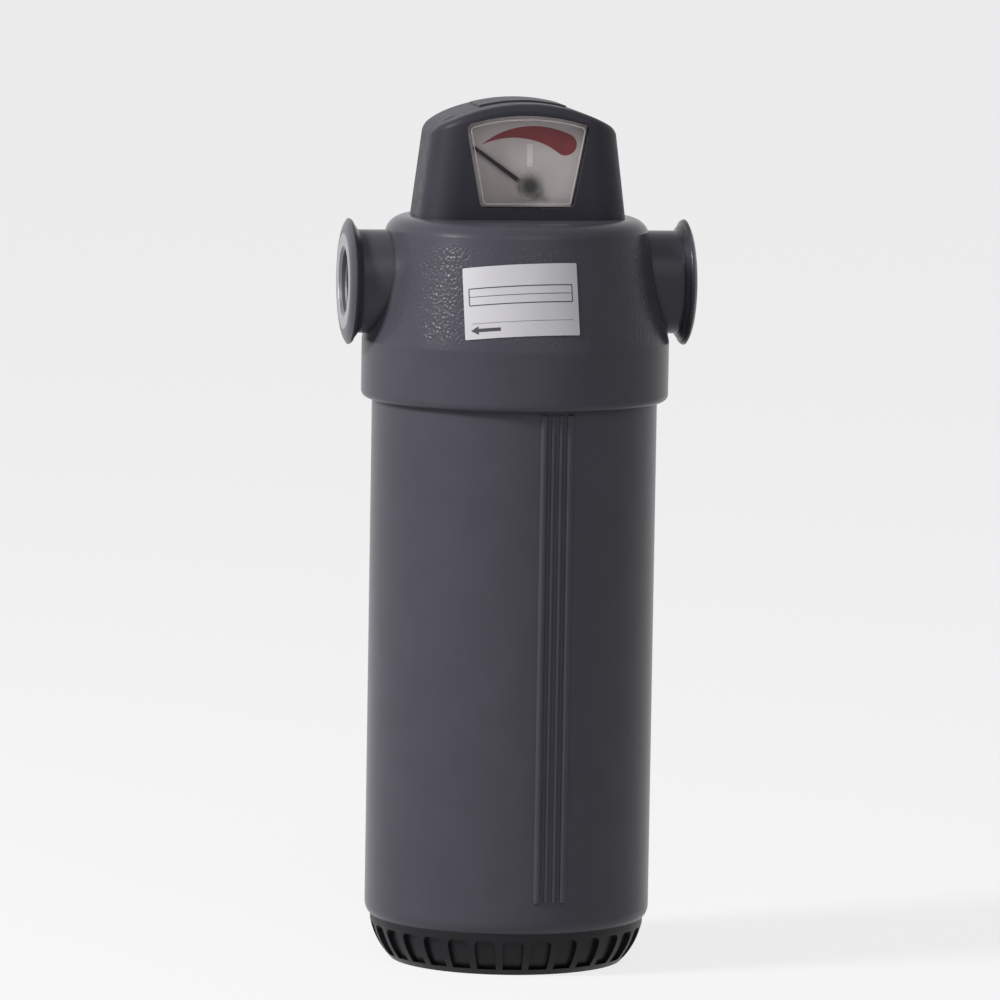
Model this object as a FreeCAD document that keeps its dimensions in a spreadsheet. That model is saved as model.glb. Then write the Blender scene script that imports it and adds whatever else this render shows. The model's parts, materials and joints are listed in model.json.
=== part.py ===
import FreeCAD, Part
import math
import os
import re
import Sketcher

# Compressed-air micro filter with 3/4 inch ports, modelled as it stands on its base.
# The origin is the middle of the base's underside, Z points up along the bowl,
# the two ports lie along X and the dial of the pressure indicator faces -Y.
# Lengths are millimetres and angles are degrees.

SIZES = {
    # Base cap
    "cap_high": 16.4,
    "cap_tuck": 7.8,
    "cap_round": 27.0,
    "cap_straight": 2.0,
    "cap_floor": 4.0,
    "cap_wall": 2.6,
    "cap_hollow_draft": 3.8,
    "cap_opening_rad": 17.0,
    "pocket_count": 30,
    "pocket_deep": 2.2,
    "pocket_low": 2.2,
    "pocket_low_in": 0.3,
    "pocket_top": 13.6,
    "pocket_angle": 8.8,
    "pocket_round": 2.2,
    # Bowl
    "bowl_rad": 53.1,
    "bowl_high": 198.4,
    "bowl_wall": 4.0,
    "bowl_edge_tuck": 2.1,
    "bowl_edge_high": 4.4,
    "bowl_edge_round": 5.8,
    "bowl_floor": 6.0,
    "bowl_floor_round": 10.0,
    "neck_step": 2.1,
    "neck_wall": 4.0,
    "neck_high": 15.5,
    "neck_chamfer": 1.0,
    "throat_down": 4.0,
    "throat_high": 8.0,
    "thread_land": 1.0,
    "thread_high": 7.0,
    "thread_root": 0.8,
    "rib_up": 11.9,
    "rib_down": 6.0,
    "rib_strip_angle": 8.3,
    "rib_outer_side": 4.9,
    "rib_inner_side": 1.5,
    "rib_outer_rad": 1.5,
    "rib_inner_rad": 0.9,
    "rib_outer_proud": 0.9,
    "rib_inner_proud": 0.6,
    "screw_count": 3,
    "screw_boss_rad": 5.0,
    "screw_boss_room": 3.3,
    "screw_rad": 1.9,
    "screw_long": 11.0,
    "screw_head_rad": 3.5,
    "screw_head_high": 2.2,
    "screw_recess_deep": 2.5,
    "screw_slack": 0.15,
    # Seals: room in a groove, and what an O-ring stands clear of its seat
    "groove_slack": 0.1,
    "ring_seat_gap": 0.05,
    "bowl_ring_cord": 1.9,
    "bowl_ring_sunk": 0.1,
    "bowl_ring_down": 4.5,
    # Head casting
    "skirt_overlap": 4.5,
    "skirt_high": 22.0,
    "skirt_wall": 3.6,
    "skirt_round": 2.6,
    "cone_high": 41.0,
    "cone_in": 8.4,
    "crown_high": 5.0,
    "crown_in": 7.2,
    "head_round": 8.0,
    "thread_slack": 0.3,
    "skirt_slack": 0.5,
    "seat_gap": 0.3,
    "cone_wall": 3.3,
    "roof_thick": 7.0,
    "roof_round": 8.0,
    "neck_room": 1.0,
    # Ports
    "port_up": 21.5,
    "port_face": 65.0,
    "port_neck_rad": 19.2,
    "port_rim_rad": 23.4,
    "port_rim_thick": 5.6,
    "port_rim_crest": 1.7,
    "port_rim_root": 1.2,
    "port_rim_edge": 1.4,
    "port_rim_front": 9.0,
    "port_face_rad": 17.75,
    "port_inner_x": 30.0,
    "thread_rad": 12.06,
    "thread_deep": 18.0,
    "duct_rad": 11.0,
    "duct_wall": 3.0,
    "mouth_chamfer": 1.1,
    # Spigot that the element pushes into
    "spigot_rad": 20.5,
    "spigot_down": 5.0,
    "socket_rad": 17.0,
    "socket_step": 1.5,
    "tap_x": 24.0,
    "tap_rad": 1.5,
    "gallery_rad": 0.9,
    # Rating label
    "label_up": 4.5,
    "label_high": 27.0,
    "label_arc": 47.0,
    "label_turn": 7.4,
    "label_thick": 0.3,
    "label_gap": 0.05,
    # Element
    "element_slack": 0.3,
    "element_end_gap": 0.5,
    "element_neck_wall": 3.2,
    "element_cap_gap": 2.5,
    "element_high": 129.5,
    "element_cap_thick": 3.5,
    "element_cap_rim": 6.0,
    "element_room": 6.0,
    "element_cap_wall": 1.6,
    "core_rad": 15.0,
    "core_wall": 1.2,
    "outer_core_wall": 1.0,
    "foam_thick": 3.8,
    "foam_room": 0.8,
    "layer_gap": 0.15,
    "element_ring_cord": 1.8,
    "element_ring_proud": 0.2,
    "element_ring_up": 4.5,
    "element_ring_step": 6.5,
    # Float drain
    "drain_hole_rad": 7.0,
    "drain_slack": 0.2,
    "drain_flange_rad": 22.0,
    "drain_flange_thick": 4.0,
    "drain_stem_long": 7.6,
    "drain_tail_rad": 4.0,
    "drain_tail_end": 1.1,
    "drain_outlet_rad": 2.0,
    "drain_seat_rad": 1.2,
    "drain_seat_deep": 2.0,
    "drain_flare_rad": 3.2,
    "drain_ring_rad": 9.6,
    "drain_ring_cord": 1.8,
    "drain_washer_rad": 12.5,
    "drain_washer_thick": 1.4,
    "drain_nut_across": 21.0,
    "drain_nut_high": 5.0,
    "knob_rad": 9.0,
    "knob_high": 5.8,
    "knob_gap": 0.4,
    "knob_slack": 0.3,
    "knob_chamfer": 1.0,
    "knob_groove_count": 16,
    "knob_groove_rad": 0.7,
    "cage_rad": 20.0,
    "cage_wall": 1.6,
    "cage_high": 53.0,
    "cage_roof": 2.0,
    "cage_hole_rad": 5.0,
    "cage_slot_count": 6,
    "cage_slot_wide": 6.0,
    "cage_slot_up": 7.0,
    "cage_slot_down": 10.0,
    "float_rad": 16.5,
    "float_up": 9.0,
    "float_high": 30.0,
    "float_hollow_rad": 12.5,
    "float_hollow_deep": 18.0,
    "float_round": 2.0,
    "float_bore_slack": 0.1,
    "valve_pin_rad": 1.5,
    "valve_cone_up": 1.3,
    "valve_tip_rad": 0.6,
    "valve_tip_down": 1.2,
    "valve_head_rad": 3.5,
    "valve_head_thick": 2.0,
    # Indicator housing
    "case_high": 42.9,
    "case_low_half": 38.7,
    "case_top_half": 33.1,
    "case_half_deep": 22.5,
    "case_corner_round": 12.5,
    "case_inner_corner": 8.6,
    "case_crown_round": 65.0,
    "case_shoulder_round": 9.0,
    "case_shoulder_out": 0.5,
    "case_edge_round": 3.2,
    "case_inner_round": 0.5,
    "case_wall": 2.0,
    "case_front_flat": 1.0,
    "parting_chamfer": 0.25,
    "crest_half": 16.3,
    "crest_proud": 0.7,
    "crest_front_gap": 0.8,
    "crest_back_gap": 8.5,
    "crest_edge_round": 0.4,
    "slot_side": 5.6,
    "slot_wide": 4.0,
    "slot_deep": 1.2,
    "slot_low": 9.0,
    # Indicator window
    "pivot_up": 12.4,
    "window_up": 4.7,
    "window_high": 30.1,
    "window_low_half": 17.1,
    "window_top_half": 22.9,
    "window_arch_round": 75.0,
    "window_corner": 2.6,
    "window_slack": 0.3,
    "lens_recess": 0.5,
    "lens_flange": 0.9,
    "lens_flange_thick": 1.1,
    "lens_boss_rad": 4.6,
    "lens_boss_deep": 0.8,
    "lens_notch_half": 5.3,
    "lens_notch_high": 0.9,
    "lens_notch_deep": 1.2,
    "gasket_thick": 2.6,
    "gasket_wide": 0.9,
    "dial_thick": 1.2,
    "dial_margin": 0.9,
    "dial_hole_slack": 0.3,
    # Pointer
    "pointer_long": 24.3,
    "pointer_tail": 6.0,
    "pointer_wide": 1.9,
    "pointer_tip_wide": 1.1,
    "pointer_thick": 0.8,
    "pointer_rest": 54.0,
    "pointer_gap": 0.5,
    "hub_rad": 2.9,
    "hub_thick": 1.0,
    "arbor_rad": 1.0,
    "arbor_slack": 0.08,
    "pointer_magnet_gap": 0.6,
    "pointer_magnet_rad": 4.5,
    "pointer_magnet_thick": 2.6,
    # Indicator mechanism
    "plate_thick": 3.0,
    "plate_inset": 2.6,
    "carrier_thick": 2.4,
    "cylinder_rad": 8.6,
    "piston_rad": 5.9,
    "piston_slack": 0.1,
    "piston_up": 1.2,
    "piston_long": 15.0,
    "piston_magnet_rad": 3.2,
    "piston_magnet_high": 5.0,
    "magnet_slack": 0.05,
    "spring_wire": 0.8,
    "spring_rad": 4.2,
    "spring_turns": 5,
    "spring_room": 12.0,
    "spring_play": 0.1,
    "plug_deep": 2.8,
    "plug_head_rad": 7.6,
    "plug_head_high": 2.0,
    "riser_wide": 7.0,
    "riser_down": 4.5,
    "riser_cap": 3.5,
    "tap_ring_rad": 3.2,
    "tap_ring_cord": 1.6,
    "fixing_side": 7.6,
    "fixing_edge": 6.9,
    "fixing_rad": 1.9,
    "fixing_long": 8.5,
    "fixing_blind": 1.0,
    "fixing_head_rad": 3.5,
    "fixing_head_high": 3.6,
    # How far a cut or a hidden overlap runs past a face
    "past": 1.0,
}

# Sizes that follow from the driving ones. A piece that seats on another, fits in it or
# lines up with it takes its place from here.
FOLLOWING = {
    # Base cap and bowl
    "cap_top_rad": "bowl_rad - bowl_edge_tuck",
    "cap_foot_rad": "cap_top_rad - cap_tuck",
    "cap_hollow_top_rad": "cap_top_rad - pocket_deep - cap_wall",
    "cap_hollow_low_rad": "cap_hollow_top_rad - cap_hollow_draft",
    "screw_circle_rad": "cap_hollow_low_rad - screw_boss_rad - screw_boss_room",
    "shoulder_z": "cap_high + bowl_high",
    "bowl_in": "bowl_rad - bowl_wall",
    "bowl_floor_top": "cap_high + bowl_floor",
    "rib_low": "cap_high + rib_up",
    "rib_top": "shoulder_z - rib_down",
    "neck_rad": "bowl_rad - neck_step",
    "neck_in": "neck_rad - neck_wall",
    "neck_top": "shoulder_z + neck_high",
    "bowl_ring_z": "neck_top - bowl_ring_down",
    "ring_groove": "neck_rad - bowl_ring_cord + bowl_ring_sunk",
    # Head
    "head_bore": "neck_rad + thread_slack",
    "skirt_bore": "bowl_rad + skirt_slack",
    "skirt_rad": "skirt_bore + skirt_wall",
    "skirt_low": "shoulder_z - skirt_overlap",
    "skirt_top": "skirt_low + skirt_high",
    "cone_top": "skirt_top + cone_high",
    "cone_top_rad": "skirt_rad - cone_in",
    "cone_slope": "cone_in / cone_high",
    "head_top": "cone_top + crown_high",
    "head_flat_rad": "cone_top_rad - crown_in",
    "cavity_rad": "cone_top_rad - cone_wall",
    "cavity_low": "neck_top + neck_room",
    "seat_z": "shoulder_z + seat_gap",
    "roof_z": "head_top - roof_thick",
    "port_z": "skirt_top + port_up",
    "thread_end": "port_face - thread_deep",
    "duct_out": "duct_rad + duct_wall",
    "spigot_low": "neck_top - spigot_down",
    "socket_top": "port_z - duct_rad - socket_step",
    "label_low": "skirt_top + label_up",
    # Element
    "element_neck": "socket_rad - element_slack",
    "element_neck_top": "socket_top - element_end_gap",
    "element_cap_top": "spigot_low - element_cap_gap",
    "element_low": "element_cap_top - element_high",
    "element_cap_rad": "neck_in - element_room",
    "element_ring_low": "spigot_low + element_ring_up",
    "element_ring_high": "element_ring_low + element_ring_step",
    "cap_in_top": "element_cap_top - element_cap_thick",
    "cap_in_low": "element_low + element_cap_thick",
    "foam_rad": "element_cap_rad - element_cap_wall - foam_room",
    "media_rad": "foam_rad - foam_thick - outer_core_wall - 2 * layer_gap",
    # Float drain
    "drain_stem": "drain_hole_rad - drain_slack",
    "drain_stem_low": "cap_high - drain_stem_long",
    "drain_top": "bowl_floor_top + drain_flange_thick",
    "knob_top": "drain_stem_low - knob_gap",
    "knob_low": "knob_top - knob_high",
    "drain_tail_low": "knob_low - drain_tail_end",
    "cage_top": "drain_top + cage_high",
    "cage_slot_low": "drain_top + cage_slot_up",
    "cage_slot_top": "cage_top - cage_slot_down",
    "float_low": "drain_top + float_up",
    "float_top": "float_low + float_high",
    "valve_cone_low": "drain_top + valve_cone_up",
    # Indicator, with depths counted from the middle plane towards the dial
    "case_top": "head_top + case_high",
    # The middle of the round at the crown's shoulder. Its widest point lies a little outside
    # the leaning side wall, and it touches the crown's arch from inside.
    "case_lean": "(case_low_half - case_top_half) / (case_high + past)",
    "crown_centre": "case_top - case_crown_round",
    "bend_arm": "case_crown_round - case_shoulder_round",
    "bend_reach": "case_low_half + case_lean * (head_top - crown_centre) + case_shoulder_out"
                  " - case_shoulder_round",
    "bend_up": "(bend_reach * case_lean + sqrt((1 + case_lean ^ 2) * bend_arm ^ 2 - bend_reach ^ 2))"
               " / (1 + case_lean ^ 2)",
    "bend_x": "bend_reach - case_lean * bend_up",
    "bend_z": "crown_centre + bend_up",
    # The parting plane lies just behind the rounded front corners.
    "parting_y": "case_half_deep - case_corner_round - case_front_flat",
    "crest_front": "parting_y - crest_front_gap",
    "crest_back": "case_half_deep - crest_back_gap",
    "slot_x": "case_top_half - slot_side",
    "fixing_x": "case_low_half - plate_inset - fixing_side",
    "fixing_y": "case_half_deep - plate_inset - fixing_edge",
    "window_low": "head_top + window_up",
    "window_top": "window_low + window_high",
    "pivot_z": "head_top + pivot_up",
    "wall_in": "case_half_deep - case_wall",
    "lens_back": "wall_in - lens_flange_thick",
    "dial_front": "lens_back - gasket_thick",
    "dial_back": "dial_front - dial_thick",
    "pointer_back": "dial_front + pointer_gap",
    "carrier_back": "dial_back - carrier_thick",
    "magnet_front": "carrier_back - pointer_magnet_gap",
    "cylinder_bore": "piston_rad + piston_slack",
    "piston_low": "head_top + plate_thick + piston_up",
    "piston_top": "piston_low + piston_long",
    "spring_top": "piston_top + spring_room",
    "cylinder_top": "spring_top + plug_deep",
    "riser_top": "cylinder_top - riser_down",
    "riser_hole_z": "riser_top - riser_cap",
}

# Two lengths closer than this count as the same.
NEAR = 0.01
# A direction with at least this share along an axis counts as parallel to it.
ALONG = 0.999

doc = FreeCAD.newDocument("micro_filter")
sheet = doc.addObject("Spreadsheet::Sheet", "Sizes")
nodes = []


def fill_sheet():
    """Write every driving size into the spreadsheet as a number with an alias."""
    for row, (alias, size) in enumerate(SIZES.items(), start=1):
        sheet.set(f"A{row}", alias)
        sheet.set(f"B{row}", str(size))
        sheet.setAlias(f"B{row}", alias)
    doc.recompute()


def bind(formula):
    """Write out the sizes that follow from others, and put the sheet's name before each
    driving size."""
    def with_sheet(match):
        word = match.group()
        if word in FOLLOWING:
            return f"({bind(FOLLOWING[word])})"
        return f"Sizes.{word}" if word in SIZES else word
    return re.sub(r"[a-z_]\w*", with_sheet, formula)


def number(formula):
    """The present value of a formula."""
    return float(sheet.evalExpression(bind(formula)))


def is_plain(formula):
    """True for a formula that mentions no size."""
    return bind(formula) == formula


def new_body(label):
    """A body that becomes one node of the model."""
    body = doc.addObject("PartDesign::Body", label)
    body.Label = label
    return body


def keep(thing):
    """Count an object as a finished sub-part."""
    nodes.append(thing)
    return thing


def origin_part(body, role):
    """One of the body's own origin planes or axes."""
    return next(item for item in body.Origin.OriginFeatures if item.Role == role)


def sketch_on(body, name, role, offset="0"):
    """A sketch on an origin plane, moved along that plane's normal by a formula."""
    sketch = body.newObject("Sketcher::SketchObject", f"{body.Name}_{name}")
    sketch.AttachmentSupport = (origin_part(body, role), [""])
    sketch.MapMode = "FlatFace"
    sketch.setExpression("AttachmentOffset.Base.z", bind(offset))
    return sketch


def fix(sketch, geometry, point, x, y):
    """Tie one point of a sketch to two formulas, measured from the sketch's origin."""
    for kind, formula in (("DistanceX", x), ("DistanceY", y)):
        index = sketch.addConstraint(Sketcher.Constraint(kind, geometry, point, number(formula)))
        if not is_plain(formula):
            sketch.setExpression(f"Constraints[{index}]", bind(formula))


def arc_between(start, end, radius, turn):
    """The short arc from start to end. turn is 1 for anticlockwise and -1 for clockwise."""
    half = (end - start) * 0.5
    side = FreeCAD.Vector(-half.y, half.x, 0).normalize()
    rise = math.sqrt(max(radius ** 2 - half.Length ** 2, 0.0))
    centre = start + half + side * (turn * rise)
    circle = Part.Circle(centre, FreeCAD.Vector(0, 0, 1), radius)
    first, last = (start, end) if turn > 0 else (end, start)
    angles = [math.atan2(p.y - centre.y, p.x - centre.x) for p in (first, last)]
    if angles[1] < angles[0]:
        angles[1] += 2 * math.pi
    return Part.ArcOfCircle(circle, angles[0], angles[1])


def outline(sketch, corners):
    """Draw a closed outline. Each corner is (x, y), or (x, y, radius, turn) where the
    edge that leaves it is an arc. Every corner and radius stays tied to its formula."""
    points = [FreeCAD.Vector(number(c[0]), number(c[1]), 0) for c in corners]
    ends = []
    for index, corner in enumerate(corners):
        start = points[index]
        end = points[(index + 1) % len(points)]
        if len(corner) == 4:
            edge = sketch.addGeometry(arc_between(start, end, number(corner[2]), corner[3]), False)
            radius = sketch.addConstraint(Sketcher.Constraint("Radius", edge, number(corner[2])))
            sketch.setExpression(f"Constraints[{radius}]", bind(corner[2]))
            ends.append((edge, 1, 2) if corner[3] > 0 else (edge, 2, 1))
        else:
            edge = sketch.addGeometry(Part.LineSegment(start, end), False)
            ends.append((edge, 1, 2))
    for index, (edge, first, last) in enumerate(ends):
        following, its_first, _ = ends[(index + 1) % len(ends)]
        sketch.addConstraint(Sketcher.Constraint("Coincident", edge, last, following, its_first))
        fix(sketch, edge, first, corners[index][0], corners[index][1])


def ring(sketch, x, y, radius):
    """Draw a circle tied to three formulas."""
    centre = FreeCAD.Vector(number(x), number(y), 0)
    edge = sketch.addGeometry(Part.Circle(centre, FreeCAD.Vector(0, 0, 1), number(radius)), False)
    fix(sketch, edge, 3, x, y)
    size = sketch.addConstraint(Sketcher.Constraint("Radius", edge, number(radius)))
    sketch.setExpression(f"Constraints[{size}]", bind(radius))


def revolve(body, sketch, axis="V_Axis", cut=False, angle="360", both_sides=False):
    """Turn a sketch about one of its own axes, adding to the body or cutting it."""
    kind = "PartDesign::Groove" if cut else "PartDesign::Revolution"
    turned = body.newObject(kind, f"{sketch.Name}_turned")
    turned.Profile = sketch
    turned.ReferenceAxis = (sketch, [axis])
    turned.Midplane = both_sides
    turned.Angle = number(angle)
    if not is_plain(angle):
        turned.setExpression("Angle", bind(angle))
    return turned


def extrude(body, sketch, length, cut=False, backwards=False):
    """Pad or pocket a sketch by a formula."""
    kind = "PartDesign::Pocket" if cut else "PartDesign::Pad"
    feature = body.newObject(kind, f"{sketch.Name}_run")
    feature.Profile = sketch
    feature.Length = number(length)
    feature.setExpression("Length", bind(length))
    feature.Reversed = backwards
    return feature


def repeat_round(body, feature, count):
    """Copy a feature round the Z axis."""
    pattern = body.newObject("PartDesign::PolarPattern", f"{feature.Name}_round")
    pattern.Originals = [feature]
    pattern.Axis = (origin_part(body, "Z_Axis"), [""])
    pattern.Angle = 360
    pattern.Occurrences = int(number(count))
    pattern.setExpression("Occurrences", bind(count))
    body.Tip = pattern
    return pattern


def fillet(body, name, radius, choose):
    """Round the edges of the body's present shape that choose() accepts."""
    doc.recompute()
    base = body.Tip
    names = [f"Edge{i}" for i, edge in enumerate(base.Shape.Edges, start=1) if choose(edge)]
    if not names:
        raise ValueError(f"{body.Label}: no edge found for {name}")
    rounded = body.newObject("PartDesign::Fillet", f"{body.Name}_{name}")
    rounded.Base = (base, names)
    rounded.Radius = number(radius)
    rounded.setExpression("Radius", bind(radius))
    return rounded


def is_ring(edge, radius, height):
    """True for a full or part circle about the Z axis at a radius and height."""
    curve = edge.Curve
    return (
        isinstance(curve, Part.Circle)
        and abs(curve.Radius - number(radius)) < NEAR
        and abs(curve.Center.z - number(height)) < NEAR
        and math.hypot(curve.Center.x, curve.Center.y) < NEAR
    )


def turned_part(label, corners, axis="V_Axis"):
    """A sub-part that is one turned section."""
    body = new_body(label)
    section = sketch_on(body, "section", "XZ_Plane")
    outline(section, corners)
    revolve(body, section, axis)
    return body


def place(thing, x="0", y="0", z="0", turn_axis=None, turn="0"):
    """Put a sub-part where its formulas say."""
    if turn_axis:
        thing.Placement.Rotation = FreeCAD.Rotation(turn_axis, number(turn))
    for axis, formula in (("x", x), ("y", y), ("z", z)):
        if formula != "0":
            thing.setExpression(f"Placement.Base.{axis}", bind(formula))


def seal_ring(label, circle_rad, height, cord):
    """An O-ring round the Z axis."""
    torus = doc.addObject("Part::Torus", label)
    torus.Label = label
    torus.setExpression("Radius1", bind(circle_rad))
    torus.setExpression("Radius2", bind(f"{cord} / 2"))
    torus.setExpression("Placement.Base.z", bind(height))
    return torus


def joined(label, pieces):
    """Several separate solids that share one node."""
    group = doc.addObject("Part::Compound", label)
    group.Label = label
    group.Links = pieces
    return group


def make_base_cap():
    """Moulded base cap: a bowl-shaped wall with a ring of round-topped pockets."""
    body = new_body("base_cap")
    section = sketch_on(body, "section", "XZ_Plane")
    outline(section, [
        ("cap_opening_rad", "0"),
        ("cap_foot_rad", "0", "cap_round", 1),
        ("cap_top_rad", "cap_high - cap_straight"),
        ("cap_top_rad", "cap_high"),
        ("cap_hollow_top_rad", "cap_high"),
        ("cap_hollow_low_rad", "cap_floor"),
        ("cap_opening_rad", "cap_floor"),
    ])
    revolve(body, section)
    pocket = sketch_on(body, "pocket", "XZ_Plane")
    outline(pocket, [
        ("cap_foot_rad + pocket_low_in", "pocket_low", "cap_round", 1),
        ("cap_top_rad - pocket_deep", "pocket_top"),
        ("cap_top_rad + pocket_deep", "pocket_top"),
        ("cap_top_rad + pocket_deep", "pocket_low"),
    ])
    cut = revolve(body, pocket, cut=True, angle="pocket_angle", both_sides=True)
    repeat_round(body, cut, "pocket_count")

    def pocket_top_corner(edge):
        ends = [v.Point for v in edge.Vertexes]
        if len(ends) != 2 or not isinstance(edge.Curve, Part.Line):
            return False
        level = all(abs(p.z - number("pocket_top")) < NEAR for p in ends)
        floor_rad = number("cap_top_rad - pocket_deep")
        return level and min(math.hypot(p.x, p.y) for p in ends) > floor_rad - NEAR

    fillet(body, "pocket_tops", "pocket_round", pocket_top_corner)
    holes = sketch_on(body, "screw_holes", "XY_Plane")
    ring(holes, "screw_circle_rad", "0", "screw_rad + screw_slack")
    hole = extrude(body, holes, "cap_floor", cut=True, backwards=True)
    repeat_round(body, hole, "screw_count")
    recesses = sketch_on(body, "screw_recesses", "XY_Plane")
    ring(recesses, "screw_circle_rad", "0", "screw_head_rad + screw_slack")
    recess = extrude(body, recesses, "screw_recess_deep", cut=True, backwards=True)
    repeat_round(body, recess, "screw_count")
    return keep(body)


def make_base_cap_screws():
    """Three pan-head screws that hold the base cap to the bowl's bosses."""
    screws = []
    for index in range(int(number("screw_count"))):
        screw = turned_part(f"base_cap_screw_{index + 1}", [
            ("0", "0"),
            ("screw_head_rad", "0"),
            ("screw_head_rad", "screw_head_high"),
            ("screw_rad", "screw_head_high"),
            ("screw_rad", "screw_head_high + screw_long"),
            ("0", "screw_head_high + screw_long"),
        ])
        angle = f"{index} * 360 / screw_count"
        place(screw, f"screw_circle_rad * cos({angle})", f"screw_circle_rad * sin({angle})",
              "screw_recess_deep - screw_head_high")
        screws.append(screw)
    return keep(joined("base_cap_screws", screws))


def make_bowl():
    """Bowl: a deep cup with a necked and grooved top, a floor with bosses, and outer ribs."""
    body = new_body("bowl")
    section = sketch_on(body, "section", "XZ_Plane")
    groove_half = "(bowl_ring_cord / 2 + groove_slack)"
    outline(section, [
        ("drain_hole_rad", "cap_high"),
        ("cap_top_rad", "cap_high", "bowl_edge_round", 1),
        ("bowl_rad", "cap_high + bowl_edge_high"),
        ("bowl_rad", "shoulder_z"),
        ("neck_rad", "shoulder_z"),
        ("neck_rad", "shoulder_z + thread_land"),
        ("neck_rad - thread_root", "shoulder_z + thread_land"),
        ("neck_rad - thread_root", "shoulder_z + thread_land + thread_high"),
        ("neck_rad", "shoulder_z + thread_land + thread_high"),
        ("neck_rad", f"bowl_ring_z - {groove_half}"),
        ("ring_groove", f"bowl_ring_z - {groove_half}"),
        ("ring_groove", f"bowl_ring_z + {groove_half}"),
        ("neck_rad", f"bowl_ring_z + {groove_half}"),
        ("neck_rad", "neck_top - neck_chamfer"),
        ("neck_rad - neck_chamfer", "neck_top"),
        ("neck_in", "neck_top"),
        ("neck_in", "shoulder_z - throat_down"),
        ("bowl_in", "shoulder_z - throat_down - throat_high"),
        ("bowl_in", "bowl_floor_top + bowl_floor_round", "bowl_floor_round", -1),
        ("bowl_in - bowl_floor_round", "bowl_floor_top"),
        ("drain_hole_rad", "bowl_floor_top"),
    ])
    revolve(body, section)
    bosses = sketch_on(body, "bosses", "XY_Plane", "cap_floor")
    ring(bosses, "screw_circle_rad", "0", "screw_boss_rad")
    boss = extrude(body, bosses, "cap_high - cap_floor + past")
    repeat_round(body, boss, "screw_count")
    ribs = sketch_on(body, "ribs", "XY_Plane", "rib_low")
    for side in ("-1", "1"):
        for name in ("outer", "inner"):
            across = f"({side} * rib_{name}_side)"
            out = f"(bowl_rad + rib_{name}_proud - rib_{name}_rad - {across} ^ 2 / bowl_rad / 2)"
            ring(ribs,
                 f"{out} * sin(rib_strip_angle) + {across} * cos(rib_strip_angle)",
                 f"{across} * sin(rib_strip_angle) - {out} * cos(rib_strip_angle)",
                 f"rib_{name}_rad")
    strip = extrude(body, ribs, "rib_top - rib_low")
    repeat_round(body, strip, "2")
    holes = sketch_on(body, "screw_holes", "XY_Plane", "cap_floor")
    ring(holes, "screw_circle_rad", "0", "screw_rad + screw_slack / 2")
    hole = extrude(body, holes, "screw_long", cut=True, backwards=True)
    repeat_round(body, hole, "screw_count")
    return keep(body)


def make_bowl_o_ring():
    """Seal between the bowl's neck and the head's bore."""
    circle_rad = "ring_groove + bowl_ring_cord / 2 + ring_seat_gap"
    return keep(seal_ring("bowl_o_ring", circle_rad, "bowl_ring_z", "bowl_ring_cord"))


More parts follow.
